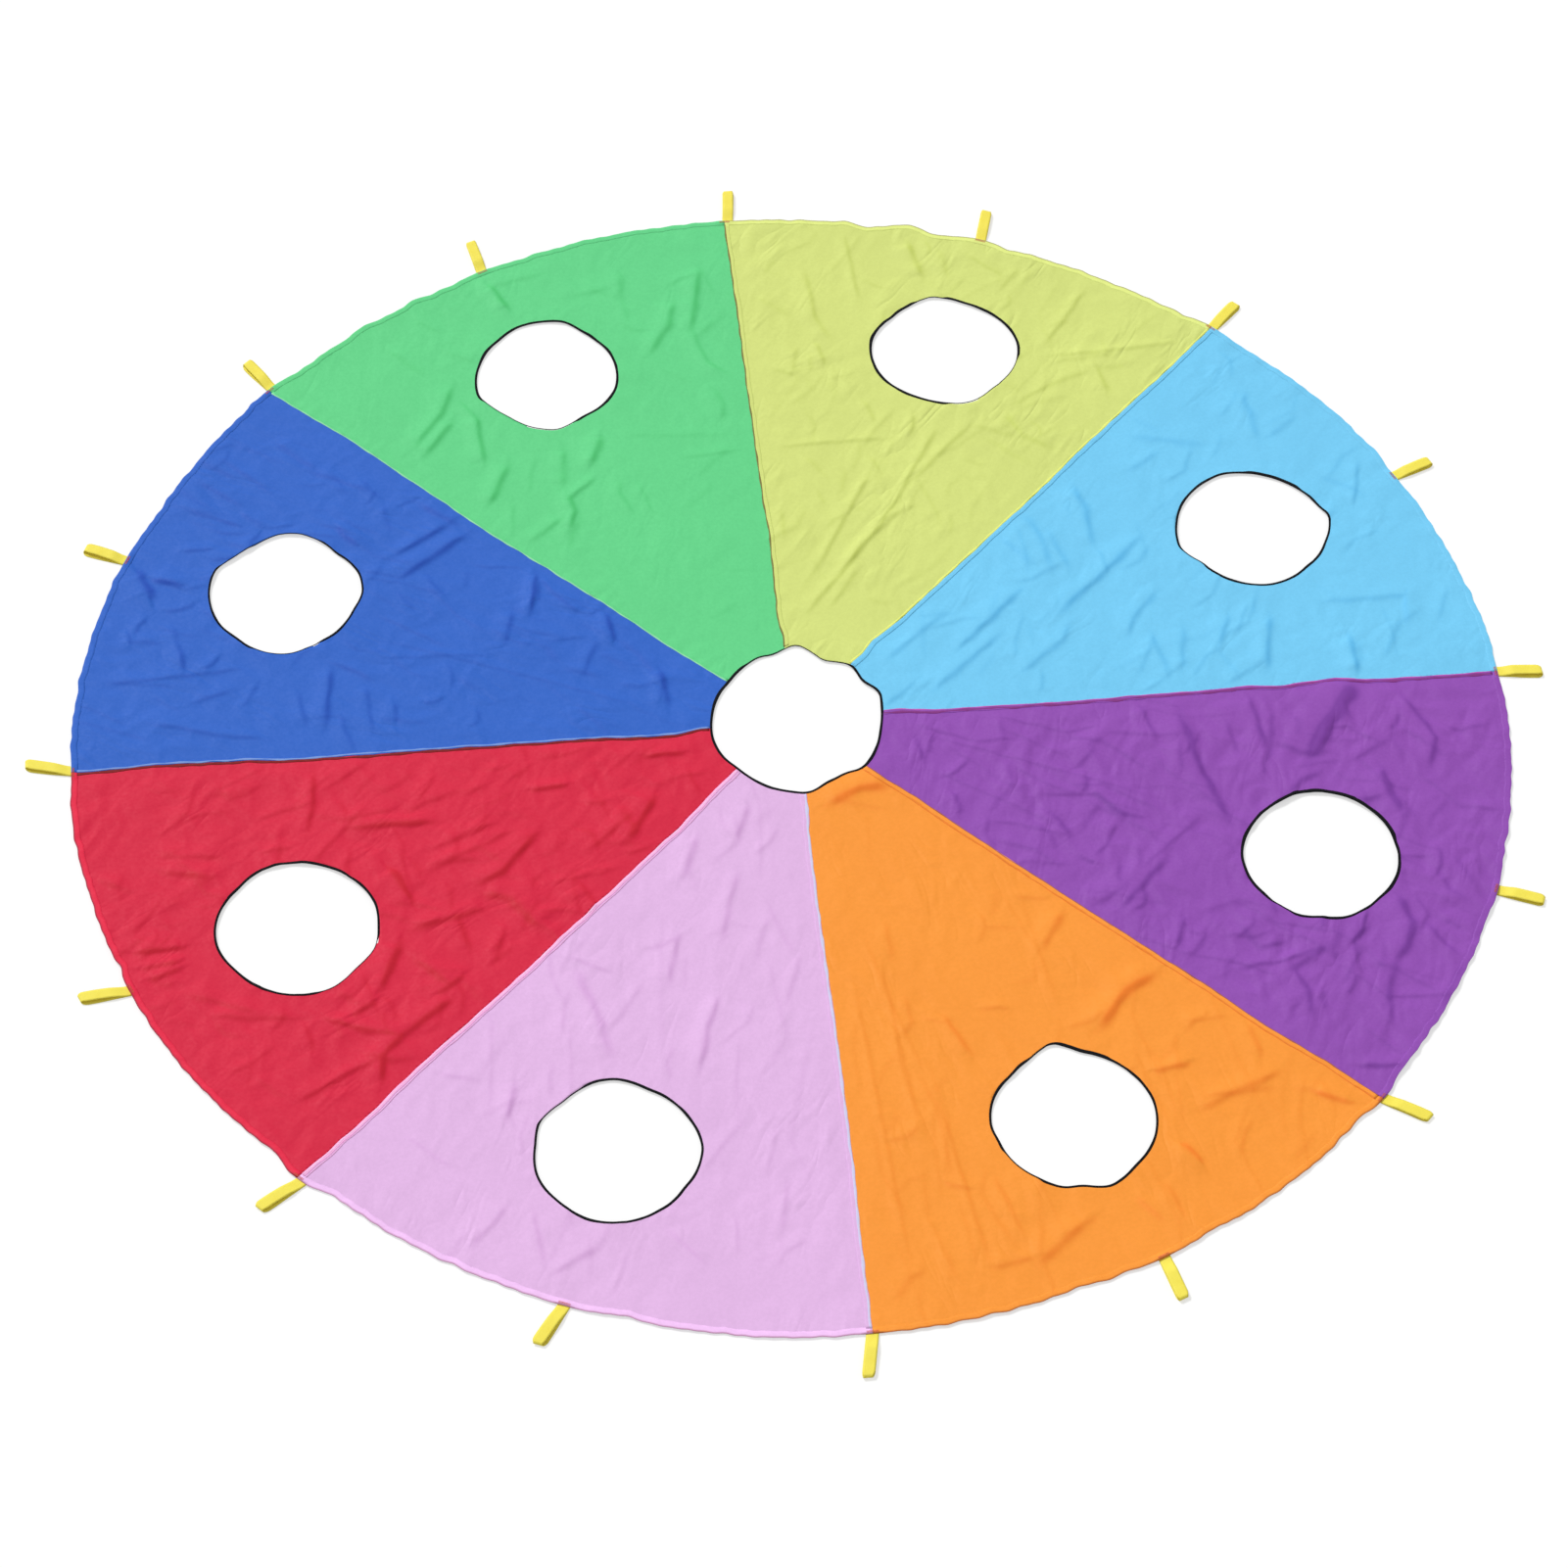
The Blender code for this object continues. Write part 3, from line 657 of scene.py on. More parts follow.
def puckers(x, y):
    """Small ripples where thread draws the cloth in: along the seams, the hem and the bindings."""
    radius = np.hypot(x, y)
    angle = np.arctan2(y, x)
    height = np.zeros_like(x)
    for index in range(len(GORES)):
        c = math.cos(index * GORE_ANGLE)
        s = math.sin(index * GORE_ANGLE)
        along = x * c + y * s
        off = np.abs(y * c - x * s)
        near = (off < 0.12) & (along > 0)
        ripple = 0.5 + noise(along[near] / 0.024, off[near] / 0.13, 120 + index)
        patches = eased(0.45 + 1.3 * noise(along[near] / 0.16, off[near] * 0, 140 + index))
        height[near] += 0.0011 * SEAM_PUCKERS[index] * ripple * patches * np.exp(-((off[near] / 0.035) ** 2))
    ripple = 0.5 + noise(angle * RIM / 0.055, radius / 0.35, 160)
    height += 0.0020 * ripple * eased((radius - RIM + 0.10) / 0.09)
    for index in range(len(GORES)):
        cx, cy = hole_centre(index)
        away = np.hypot(x - cx, y - cy)
        near = away < HOLE + 0.15
        turn = np.arctan2(y[near] - cy, x[near] - cx)
        ripple = 0.5 + noise(np.cos(turn) * 3.1 + 9, np.sin(turn) * 3.1 + index * 7, 180 + index)
        height[near] += 0.0022 * ripple * np.exp(-(((away[near] - HOLE) / 0.05) ** 2))
    ripple = 0.5 + noise(np.cos(angle) * 2.6 + 5, np.sin(angle) * 2.6, 200)
    height += 0.0026 * ripple * np.exp(-(((radius - HUB) / 0.07) ** 2))
    return height


def relief(x, y):
    """Height of the lying cloth above its bed, never below it."""
    swell = 0.0014 * np.clip(0.5 + noise(x / 0.42, y / 0.42, 1), 0, 1)
    folds, fold_shade_amount = fold_relief(x, y)
    height = swell + crinkles(x, y) + puckers(x, y) + folds
    return height / (1 + (height / HIGHEST) ** 4) ** 0.25, fold_shade_amount


def lay(points):
    """Takes points of the flat pattern, with heights from the cloth's middle, to where they lie on the ground, and
    tells how much painted fold shade each of them gets."""
    x, y = settle(points[:, 0], points[:, 1])
    height, fold_shade_amount = relief(x, y)
    return np.stack([x, y, points[:, 2] + BED + height], axis=1), fold_shade_amount


def coordinates(mesh):
    points = np.zeros(len(mesh.vertices) * 3)
    mesh.vertices.foreach_get("co", points)
    return points.reshape(-1, 3)


def place(mesh, points):
    mesh.vertices.foreach_set("co", points.astype(np.float32).ravel())
    mesh.update()


def turned(points, angle):
    """The points turned about +Z."""
    c, s = math.cos(angle), math.sin(angle)
    return np.stack([points[:, 0] * c - points[:, 1] * s, points[:, 0] * s + points[:, 1] * c, points[:, 2]], axis=1)


def as_mesh(shape, name, outward=False):
    """Makes the bmesh a smooth shaded mesh."""
    if outward:
        bmesh.ops.recalc_face_normals(shape, faces=shape.faces)
    for face in shape.faces:
        face.smooth = True
    mesh = bpy.data.meshes.new(name)
    shape.to_mesh(mesh)
    shape.free()
    return mesh


def add_flat_map(mesh, points):
    """Stores flat coordinates, in metres, as the UV map that weaves and stitches follow."""
    layer = mesh.uv_layers.new(name="flat")
    corners = np.zeros(len(mesh.loops), dtype=np.int32)
    mesh.loops.foreach_get("vertex_index", corners)
    layer.data.foreach_set("uv", points[corners, :2].astype(np.float32).ravel())


def add_piece(name, mesh, material):
    mesh.materials.append(material)
    piece = bpy.data.objects.new(name, mesh)
    bpy.context.scene.collection.objects.link(piece)
    return piece


def thicken(piece, thickness):
    """Gives an open sheet its thickness, half of it on each side."""
    solid = piece.modifiers.new("thickness", "SOLIDIFY")
    solid.thickness = thickness
    solid.offset = 0


def carry(piece, gore):
    """Fixes a piece to the half that its gore belongs to; a piece of a gore at the fold line keeps its place, fixed to
    neither half.
    """
    if gore in GORES_AT_THE_FOLD:
        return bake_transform(piece)
    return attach(piece, BACK if GORES.index(gore) < BACK_GORES else FRONT)


def laid_piece(name, pattern, turn, material, thickness=0):
    """A copy of a flat pattern, turned to its place and laid on the ground."""
    mesh = pattern.copy()
    mesh.name = name
    points, fold_shade_amount = lay(turned(coordinates(mesh), turn))
    place(mesh, points)
    # Stores the painted fold shade for the material to darken the colour with
    mesh.attributes.new("painted_fold_shade", "FLOAT", "POINT").data.foreach_set("value", fold_shade_amount.astype(np.float32))
    piece = add_piece(name, mesh, material)
    if thickness:
        thicken(piece, thickness)
    return piece


def linear(colour):
    """An sRGB colour as the linear one that a socket takes."""
    shares = [channel / 255 for channel in colour]
    return (*[s / 12.92 if s <= 0.04045 else ((s + 0.055) / 1.055) ** 2.4 for s in shares], 1)


def shaded(colour, factor, veil=0.0):
    """The linear colour made darker or lighter, less the pale sheen that its surface adds."""
    return (*[min(1, max(0.002, channel * factor - veil)) for channel in linear(colour)[:3]], 1)


def fold_shade_tone(colour):
    """The linear colour darker and more saturated: the painted shade in the cloth's folds."""
    return (*[max(0.002, 0.96 * channel ** FOLD_SHADE_POWER) for channel in linear(colour)[:3]], 1)


def add_node(tree, kind, settings=None, inputs=None):
    """A new shader node with its settings, and its inputs either set or linked."""
    node = tree.nodes.new("ShaderNode" + kind)
    for name, value in (settings or {}).items():
        setattr(node, name, value)
    for name, value in (inputs or {}).items():
        if isinstance(value, bpy.types.NodeSocket):
            tree.links.new(value, node.inputs[name])
        else:
            node.inputs[name].default_value = value
    return node


def mixed(tree, factor, first, second):
    """A colour between two, which are colours or sockets."""
    node = add_node(tree, "Mix", {"data_type": "RGBA"}, {0: factor, 6: first, 7: second})
    return node.outputs[2]


def ranged(tree, value, low, high, to_low, to_high):
    """A value taken from one range to another."""
    inputs = {"Value": value, "From Min": low, "From Max": high, "To Min": to_low, "To Max": to_high}
    return add_node(tree, "MapRange", None, inputs).outputs["Result"]


def new_material(name, roughness):
    material = bpy.data.materials.new(name)
    material.use_nodes = True
    shader = material.node_tree.nodes["Principled BSDF"]
    shader.inputs["Roughness"].default_value = roughness
    return material, material.node_tree, shader


def thread_bands(tree, place_on, direction, pitch):
    """Threads or ribs one pitch apart, counted along X or Y of the flat map."""
    settings = {"wave_type": "BANDS", "bands_direction": direction, "wave_profile": "SIN"}
    inputs = {"Vector": place_on, "Scale": 2 * math.pi / (20 * pitch), "Distortion": 0}
    return add_node(tree, "TexWave", settings, inputs).outputs["Fac"]


def noise_field(tree, place_on, scale, detail, stretch=None, distortion=0.0):
    if stretch:
        place_on = add_node(tree, "Mapping", None, {"Vector": place_on, "Scale": stretch}).outputs["Vector"]
    inputs = {"Vector": place_on, "Scale": scale, "Detail": detail, "Distortion": distortion}
    return add_node(tree, "TexNoise", None, inputs).outputs["Fac"]


def bumped(tree, height, distance, normal=None):
    inputs = {"Height": height, "Distance": distance, "Strength": 1.0}
    if normal:
        inputs["Normal"] = normal
    return add_node(tree, "Bump", None, inputs).outputs["Normal"]


def crumpled(tree, spot, direction):
    """Sharp little creases in scattered patches, drawn out along a direction in degrees."""
    turn = {"Vector": spot, "Rotation": (0, 0, math.radians(direction)), "Scale": (2.6, 1, 1)}
    drawn_out = add_node(tree, "Mapping", {"vector_type": "TEXTURE"}, turn).outputs["Vector"]
    creases = noise_field(tree, drawn_out, 15, 2, distortion=0.5)
    creases = add_node(tree, "Math", {"operation": "SUBTRACT"}, {0: creases, 1: 0.5}).outputs[0]
    creases = add_node(tree, "Math", {"operation": "ABSOLUTE"}, {0: creases}).outputs[0]
    patches = ranged(tree, noise_field(tree, spot, 5.5, 2), 0.47, 0.62, 0.12, 1)
    return add_node(tree, "Math", {"operation": "MULTIPLY"}, {0: creases, 1: patches}).outputs[0]


def taffeta(name, colour, crinkle=1.0, direction=0.0, edge=None):
    """Thin plain-woven polyester: warp and weft, slubs along the warp, clouds of tone, painted shade in folds, and
    where an edge colour is given, a line of it as painted shade along the fold at the outer edge."""
    material, tree, shader = new_material(name, 0.62)
    flat = add_node(tree, "UVMap", {"uv_map": "flat"}).outputs["UV"]
    spot = add_node(tree, "TexCoord").outputs["Object"]
    fold_shade_amount = add_node(tree, "Attribute", {"attribute_name": "painted_fold_shade"}).outputs["Fac"]
    warp = thread_bands(tree, flat, "Y", 0.00042)
    weft = thread_bands(tree, flat, "X", 0.00050)
    weave = add_node(tree, "Math", {"operation": "MULTIPLY"}, {0: warp, 1: weft}).outputs[0]
    slubs = noise_field(tree, flat, 1, 2, stretch=(14, 620, 1))
    clouds = noise_field(tree, spot, 4.5, 3)
    grain = noise_field(tree, spot, 150, 2)
    tone = mixed(
        tree, ranged(tree, clouds, 0.3, 0.7, 0, 1), shaded(colour, 1.01, CLOTH_SHEEN), shaded(colour, 1.06, CLOTH_SHEEN)
    )
    tone = mixed(tree, ranged(tree, slubs, 0.35, 0.75, 0, 0.3), tone, shaded(colour, 1.10, CLOTH_SHEEN))
    tone = mixed(tree, ranged(tree, grain, 0.35, 0.65, 0, 0.25), tone, shaded(colour, 0.88, CLOTH_SHEEN))
    tone = mixed(tree, ranged(tree, weave, 0, 0.6, 0.15, 0), tone, shaded(colour, 0.80, CLOTH_SHEEN))
    # Painted shade: a darker, more saturated colour where the fold shade attribute is high
    tone = mixed(tree, ranged(tree, fold_shade_amount, 0, 1, 0, 0.65), tone, fold_shade_tone(colour))
    if edge:
        # Painted shade: the edge colour along the hem's outer fold, fading inwards
        from_edge = add_node(tree, "SeparateXYZ", None, {"Vector": flat}).outputs["Y"]
        tone = mixed(tree, ranged(tree, from_edge, 0, HEM_EDGE_SHADE_WIDTH, 1.0, 0), tone, shaded(edge, 0.9))
    tree.links.new(tone, shader.inputs["Base Color"])
    tree.links.new(ranged(tree, grain, 0.3, 0.7, 0.58, 0.68), shader.inputs["Roughness"])
    normal = bumped(tree, crumpled(tree, spot, direction), 0.0065 * crinkle)
    normal = bumped(tree, weave, 0.00003, normal)
    tree.links.new(normal, shader.inputs["Normal"])
    shader.inputs["Specular IOR Level"].default_value = 0.24
    return material


def tape_material():
    """Matt black folded tape with a twill line."""
    material, tree, shader = new_material("binding_tape", 0.8)
    flat = add_node(tree, "UVMap", {"uv_map": "flat"}).outputs["UV"]
    leaning = add_node(tree, "Mapping", None, {"Vector": flat, "Rotation": (0, 0, math.radians(38))})
    twill = thread_bands(tree, leaning.outputs["Vector"], "X", 0.0008)
    dust = noise_field(tree, flat, 240, 3)
    tone = mixed(tree, ranged(tree, twill, 0, 1, 0.0, 0.5), shaded(TAPE_COLOUR, 0.4), shaded(TAPE_COLOUR, 1.0))
    tone = mixed(tree, ranged(tree, dust, 0.5, 0.8, 0, 0.3), tone, shaded(TAPE_COLOUR, 1.5))
    tree.links.new(tone, shader.inputs["Base Color"])
    tree.links.new(bumped(tree, twill, 0.0001), shader.inputs["Normal"])
    shader.inputs["Specular IOR Level"].default_value = 0.08
    return material


def webbing_material():
    """Woven polypropylene webbing: ribs across it, rows of chevrons along it and two plain selvedges."""
    material, tree, shader = new_material("webbing", 0.55)
    flat = add_node(tree, "UVMap", {"uv_map": "flat"}).outputs["UV"]
    ribs = thread_bands(tree, flat, "X", 0.0021)
    ends = thread_bands(tree, flat, "Y", 0.0016)
    weave = add_node(tree, "Math", {"operation": "MULTIPLY"}, {0: ribs, 1: ends}).outputs[0]
    wear = noise_field(tree, flat, 60, 3)
    tone = mixed(tree, ranged(tree, weave, 0.0, 0.4, 0, 1), shaded(WEBBING_COLOUR, 0.92), shaded(WEBBING_COLOUR, 1.06))
    tone = mixed(tree, ranged(tree, wear, 0.45, 0.8, 0, 0.3), tone, shaded((242, 216, 60), 1.0))
    tree.links.new(tone, shader.inputs["Base Color"])
    tree.links.new(bumped(tree, weave, 0.0002), shader.inputs["Normal"])
    tree.links.new(ranged(tree, wear, 0.3, 0.7, 0.48, 0.62), shader.inputs["Roughness"])
    shader.inputs["Specular IOR Level"].default_value = 0.25
    return material


def thread_material(name, colour):
    """Spun sewing thread with its twist."""
    material, tree, shader = new_material(name, 0.6)
    spot = add_node(tree, "TexCoord").outputs["Object"]
    fuzz = noise_field(tree, spot, 900, 2)
    tone = mixed(tree, ranged(tree, fuzz, 0.35, 0.65, 0, 1), shaded(colour, 0.98), shaded(colour, 1.2))
    tree.links.new(tone, shader.inputs["Base Color"])
    tree.links.new(bumped(tree, fuzz, 0.0001), shader.inputs["Normal"])
    return material


def gore_pattern():
    """One gore cut flat with its middle line along +X: rows bent to the rim's curve, a round hole, straight sides."""
    inner = HUB + TAPE_CLOTH
    outer = RIM - HEM_SHEET_EDGE
    half_angle = GORE_ANGLE / 2
    width = 2 * outer * math.sin(half_angle)
    rows = round((outer - inner) / CELL)
    columns = 2 * round(width / CELL / 2)
    shape = bmesh.new()
    bmesh.ops.create_grid(shape, x_segments=rows, y_segments=columns, size=0.5)
    block = round(HOLE * 0.89 / CELL) * CELL
    reach = HOLE * 1.7

    def bent(distance, across):
        """Where a grid point goes when its row follows the rim's curve."""
        steepest = math.radians(26)
        if abs(across) > distance * math.sin(steepest):
            return Vector((distance * math.cos(steepest), across, 0))
        return Vector((math.sqrt(distance * distance - across * across), across, 0))

    cut_away = []
    for vertex in shape.verts:
        distance = inner + (vertex.co.x + 0.5) * (outer - inner)
        across = vertex.co.y * width
        square = max(abs(distance - HOLE_DISTANCE), abs(across))
        if square < block - CELL / 2:
            cut_away.append(vertex)
        elif square < reach:
            share = max(0, (square - block) / (reach - block))
            ray = Vector((distance - HOLE_DISTANCE, across, 0))
            on_edge = Vector((HOLE_DISTANCE, 0, 0)) + ray.normalized() * (HOLE + TAPE_CLOTH)
            far = bent(HOLE_DISTANCE + ray.x * reach / square, ray.y * reach / square)
            vertex.co = on_edge.lerp(far, share)
        else:
            vertex.co = bent(distance, across)
    bmesh.ops.delete(shape, geom=cut_away, context="VERTS")
    for side in (1, -1):
        normal = Vector((-math.sin(half_angle), side * math.cos(half_angle), 0))
        everything = shape.verts[:] + shape.edges[:] + shape.faces[:]
        bmesh.ops.bisect_plane(
            shape, geom=everything, dist=1e-6, plane_co=-normal * SEAM_GAP, plane_no=normal, clear_outer=True
        )
    mesh = as_mesh(shape, "gore_pattern")
    add_flat_map(mesh, coordinates(mesh))
    return mesh


def profile(shape, points, closed):
    """Vertices joined by edges, as the section that a spin carries along."""
    corners = [shape.verts.new(point) for point in points]
    ends = corners[1:] + corners[:1] if closed else corners[1:]
    edges = [shape.edges.new(pair) for pair in zip(corners, ends)]
    return corners + edges


def folded_section(middle, width, half, fold_at_end):
    """Section of a strip folded in two, as distance and height: two legs and the round fold that joins them."""
    far = middle + width if fold_at_end else middle - width
    towards = 1 if fold_at_end else -1
    bend = far - towards * half
    turns = [math.pi / 2 - math.pi * step / 6 for step in range(7)]
    fold = [(bend + towards * half * math.cos(turn), half * math.sin(turn)) for turn in turns]
    legs = [(middle + (bend - middle) * share, half * rise) for share, rise in ((0, 0.15), (0.3, 0.6), (0.65, 1))]
    return legs + fold + [(leg, -rise) for leg, rise in reversed(legs)]


def hem_pattern():
    """The hem of one gore, middle line along +X, folded over the rim and swollen where a webbing loop is sewn in."""
    shape = bmesh.new()
    section = folded_section(RIM - HEM_WIDTH, HEM_WIDTH, HEM_HALF, True)
    half_angle = GORE_ANGLE / 2 - SEAM_GAP / RIM
    start = Vector((math.cos(-half_angle), math.sin(-half_angle), 0))
    geometry = profile(shape, [start * distance + Vector((0, 0, z)) for distance, z in section], False)
    steps = round(2 * half_angle * RIM / ROW_STEP)
    bmesh.ops.spin(
        shape, geom=geometry, cent=(0, 0, 0), axis=(0, 0, 1), angle=2 * half_angle, steps=steps, use_merge=False
    )
    mesh = as_mesh(shape, "hem_pattern", outward=True)
    points = coordinates(mesh)
    radius = np.hypot(points[:, 0], points[:, 1])
    angle = np.arctan2(points[:, 1], points[:, 0])
    add_flat_map(mesh, np.stack([angle * RIM, RIM - radius + 0.03 * (points[:, 2] < 0)], axis=1))
    over_webbing = 1 - eased((from_handle(angle + GORE_ANGLE / 2) - WEBBING_WIDTH * 0.55) / 0.012)
    over_webbing = over_webbing * eased((radius - RIM + 0.013) / 0.007)
    thicker = np.where(points[:, 2] > 0, HEM_SWELL_TOP / HEM_HALF, HEM_SWELL_UNDER / HEM_HALF)
    points[:, 2] *= 1 + (thicker - 1) * over_webbing
    place(mesh, points)
    return mesh


def ring_pattern(name, radius, segments):
    """A folded tape round an opening of this radius, about the origin."""
    shape = bmesh.new()
    section = folded_section(radius + TAPE_WIDTH, TAPE_WIDTH, TAPE_HALF, False)
    geometry = profile(shape, [(distance, 0, z) for distance, z in section], False)
    bmesh.ops.spin(
        shape, geom=geometry, cent=(0, 0, 0), axis=(0, 0, 1), angle=2 * math.pi, steps=segments, use_merge=True
    )
    bmesh.ops.remove_doubles(shape, verts=shape.verts, dist=1e-6)
    mesh = as_mesh(shape, name, outward=True)
    points = coordinates(mesh)
    distance = np.hypot(points[:, 0], points[:, 1])
    angle = np.arctan2(points[:, 1], points[:, 0])
    add_flat_map(mesh, np.stack([angle * radius, distance - radius + 0.02 * (points[:, 2] < 0)], axis=1))
    return mesh


def strip_pattern(name, low, high, height, crown=0.0, uneven=0.25, seed=0):
    """A strip along +X, from low to high across it, that runs from the hub's tape to the hem and sways a little."""
    shape = bmesh.new()
    width = high - low
    start = HUB + TAPE_WIDTH * 0.8
    length = RIM - HEM_WIDTH * 0.8 - start
    across = (0, 0.06, 0.2, 0.4, 0.6, 0.8, 0.94, 1)
    rounded = (0.35, 0.9, 1, 1, 1, 1, 0.9, 0.35)
    top = [
        (start, low + width * share, height * part + crown * math.sin(math.pi * share))
        for share, part in zip(across, rounded)
    ]
    bottom = [(start, low + width * share, 0) for share in (0.97, 0.03)]
    geometry = profile(shape, top + bottom, True)
    steps = round(length / ROW_STEP)
    bmesh.ops.spin(
        shape, geom=geometry, cent=(0, 0, 0), axis=(0, 0, 1), dvec=(length / steps, 0, 0), angle=0, steps=steps,
        use_merge=False,
    )
    bmesh.ops.holes_fill(shape, edges=shape.edges[:], sides=0)
    mesh = as_mesh(shape, name, outward=True)
    points = coordinates(mesh)
    add_flat_map(mesh, points)
    middle = (low + high) / 2
    along = points[:, 0]
    swell = 1 + uneven * 2 * noise(along / 0.035, along * 0, 500 + seed)
    sway = 0.0016 * noise(along / 0.045, along * 0, 520 + seed) + 0.0022 * noise(along / 0.16, along * 0, 540 + seed)
    points[:, 1] = middle + (points[:, 1] - middle) * np.clip(swell, 0.1, 2) + sway
    place(mesh, points)
    return mesh


def one_stitch(shape, at, turn=0.0, length=STITCH_LENGTH):
    """A grain of thread lying along the direction turn."""
    size = Matrix.Diagonal((length / 2, THREAD, THREAD * 0.8, 1))
    place_at = Matrix.Translation(at) @ Matrix.Rotation(turn, 4, "Z") @ size
    made = bmesh.ops.create_icosphere(shape, subdivisions=1, radius=1, matrix=place_at)
    corners = made["verts"]
    faces = list({face for corner in corners for face in corner.link_faces})
    edges = list({edge for corner in corners for edge in corner.link_edges})
    return corners + edges + faces


def repeat_round(shape, geometry, angle, steps):
    bmesh.ops.spin(
        shape, geom=geometry, cent=(0, 0, 0), axis=(0, 0, 1), angle=angle, steps=steps, use_duplicate=True
    )


def repeat_along(shape, geometry, step, steps):
    bmesh.ops.spin(
        shape, geom=geometry, cent=(0, 0, 0), axis=(0, 0, 1), dvec=step, angle=0, steps=steps, use_duplicate=True
    )


def all_of(shape):
    return shape.verts[:] + shape.edges[:] + shape.faces[:]


def hem_thread_pattern():
    """Topstitching on one gore's hem, middle line along +X."""
    shape = bmesh.new()
    half_angle = GORE_ANGLE / 2
    radius = RIM - HEM_WIDTH + 0.0022
    pitch = STITCH_PITCH / radius
    blocks = int((2 * half_angle - 2 * pitch) / (pitch * STITCH_BLOCK))
    start = -blocks * STITCH_BLOCK * pitch / 2
    at = Vector((radius * math.cos(start), radius * math.sin(start), HEM_HALF * HEM_THREAD_RISE + HEM_CLOTH / 2))
    repeat_round(shape, one_stitch(shape, at, start + math.pi / 2), pitch * (STITCH_BLOCK - 1), STITCH_BLOCK - 1)
    repeat_round(shape, all_of(shape), pitch * STITCH_BLOCK * (blocks - 1), blocks - 1)
    return as_mesh(shape, "hem_thread", outward=True)


def seam_thread_pattern():
    """Topstitching along +X, as a felled strip carries it."""
    shape = bmesh.new()
    start = HUB + TAPE_WIDTH
    blocks = int((RIM - HEM_WIDTH - start) / (STITCH_PITCH * STITCH_BLOCK))
    first = one_stitch(shape, Vector((start, 0, 0)))
    repeat_along(shape, first, Vector((STITCH_PITCH, 0, 0)), STITCH_BLOCK - 1)
    repeat_along(shape, all_of(shape), Vector((STITCH_PITCH * STITCH_BLOCK, 0, 0)), blocks - 1)
    return as_mesh(shape, "seam_thread", outward=True)


def ring_thread_pattern(name, radius):
    """Topstitching that holds a folded tape round an opening."""
    shape = bmesh.new()
    row = radius + TAPE_WIDTH - 0.0018
    geometry = one_stitch(shape, Vector((row, 0, TAPE_HALF + TAPE_CLOTH / 2)), math.pi / 2)
    count = round(2 * math.pi * row / STITCH_PITCH)
    repeat_round(shape, geometry, 2 * math.pi * (1 - 1 / count), count - 1)
    return as_mesh(shape, name, outward=True)


def fitted_ring(pattern, opening, radius, x=0.0, y=0.0):
    """A ring moved to its opening, with as much of the tape as shows there."""
    mesh = pattern.copy()
    mesh.name = f"ring_{opening}"
    points = coordinates(mesh)
    distance = np.hypot(points[:, 0], points[:, 1])
    shown = tape_shown(opening, np.arctan2(points[:, 1], points[:, 0])) / TAPE_WIDTH
    scale = (radius + (distance - radius) * shown) / distance
    points[:, 0] = points[:, 0] * scale + x
    points[:, 1] = points[:, 1] * scale + y
    place(mesh, points)
    return mesh


def loop_line(top):
    """A webbing loop's middle line from the side, as distance from the middle of the canopy and height."""
    radius = (top - LOOP_GROUND) / 2
    bend = LOOP_TIP - WEBBING / 2 - radius
    inside = RIM - LOOP_TAIL
    rise_start, rise_end = LOOP_RISE
    distances = np.linspace(inside, bend, 60)
    out = distances - RIM
    lower = ROOT_LOW + (LOOP_GROUND - ROOT_LOW) * eased((out - 0.002) / 0.014)
    upper = ROOT_HIGH + (top - ROOT_HIGH) * eased((out - rise_start) / (rise_end - rise_start))
    turns = np.linspace(-math.pi / 2, math.pi / 2, 11)[1:-1]
    tip = [(bend + radius * math.cos(turn), LOOP_GROUND + radius + radius * math.sin(turn)) for turn in turns]
    return list(zip(distances, lower)) + tip + list(zip(distances[::-1], upper[::-1]))


def even_points(line, count):
    """Points evenly spread along a line, with their distance along it."""
    line = np.array(line)
    runs = np.concatenate([[0], np.cumsum(np.hypot(*np.diff(line, axis=0).T))])
    at = np.linspace(0, runs[-1], count)
    return np.interp(at, runs, line[:, 0]), np.interp(at, runs, line[:, 1]), at


def webbing_loop(index, material):
    """One folded loop of webbing, its two ends inside the hem."""
    draw = np.random.RandomState(300 + index)
    top = LOOP_TOP - WEBBING / 2 - draw.uniform(0, 0.0022)
    line = loop_line(top)
    count = int(round(2 * (LOOP_TIP - RIM) / LOOP_CELL))
    distance, height, at = even_points(line, count + 1)
    shape = bmesh.new()
    bmesh.ops.create_grid(shape, x_segments=count, y_segments=6, size=0.5)
    mesh = as_mesh(shape, f"webbing_{index + 1:02d}")
    points = coordinates(mesh)
    step = np.rint((points[:, 0] + 0.5) * count).astype(int)
    across = points[:, 1] * WEBBING_WIDTH
    add_flat_map(mesh, np.stack([at[step], across], axis=1))
    out = distance[step] - RIM
    share = np.clip(out / (LOOP_TIP - RIM), 0, 1)
    upper = (step > count / 2) * eased(share)
    across = across * (1 - LOOP_TIP_NARROWER * eased((share - 0.84) / 0.16) ** 2)
    turned_over = eased((at[step] - at[-1] / 2) / LOOP_TURN + 0.5)
    slip = LEG_OFFSETS[index] / 1000 * (turned_over - 0.5) * eased(share * 1.3)
    drift = slip + draw.uniform(-0.0012, 0.0012) * upper + draw.uniform(-0.002, 0.002) * share ** 2
    sag = 0.0008 * noise(at[step] / 0.03, across / 0.04, 320 + index) * eased((share - 0.1) / 0.2)
    lean = draw.uniform(-0.05, 0.05) * across * eased((share - 0.3) / 0.5) * (step > count / 2)
    skew = handle_slope(index) * np.clip(out, 0, None)
    points = np.stack([distance[step], across + drift + skew, height[step] + np.clip(sag, -0.0003, 1) + lean], axis=1)
    place(mesh, turned(points, index * HANDLE_ANGLE))
    piece = add_piece(f"webbing_{index + 1:02d}", mesh, material)
    thicken(piece, WEBBING)
    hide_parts(f"handle_{index + 1:02d}")
    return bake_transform(piece)


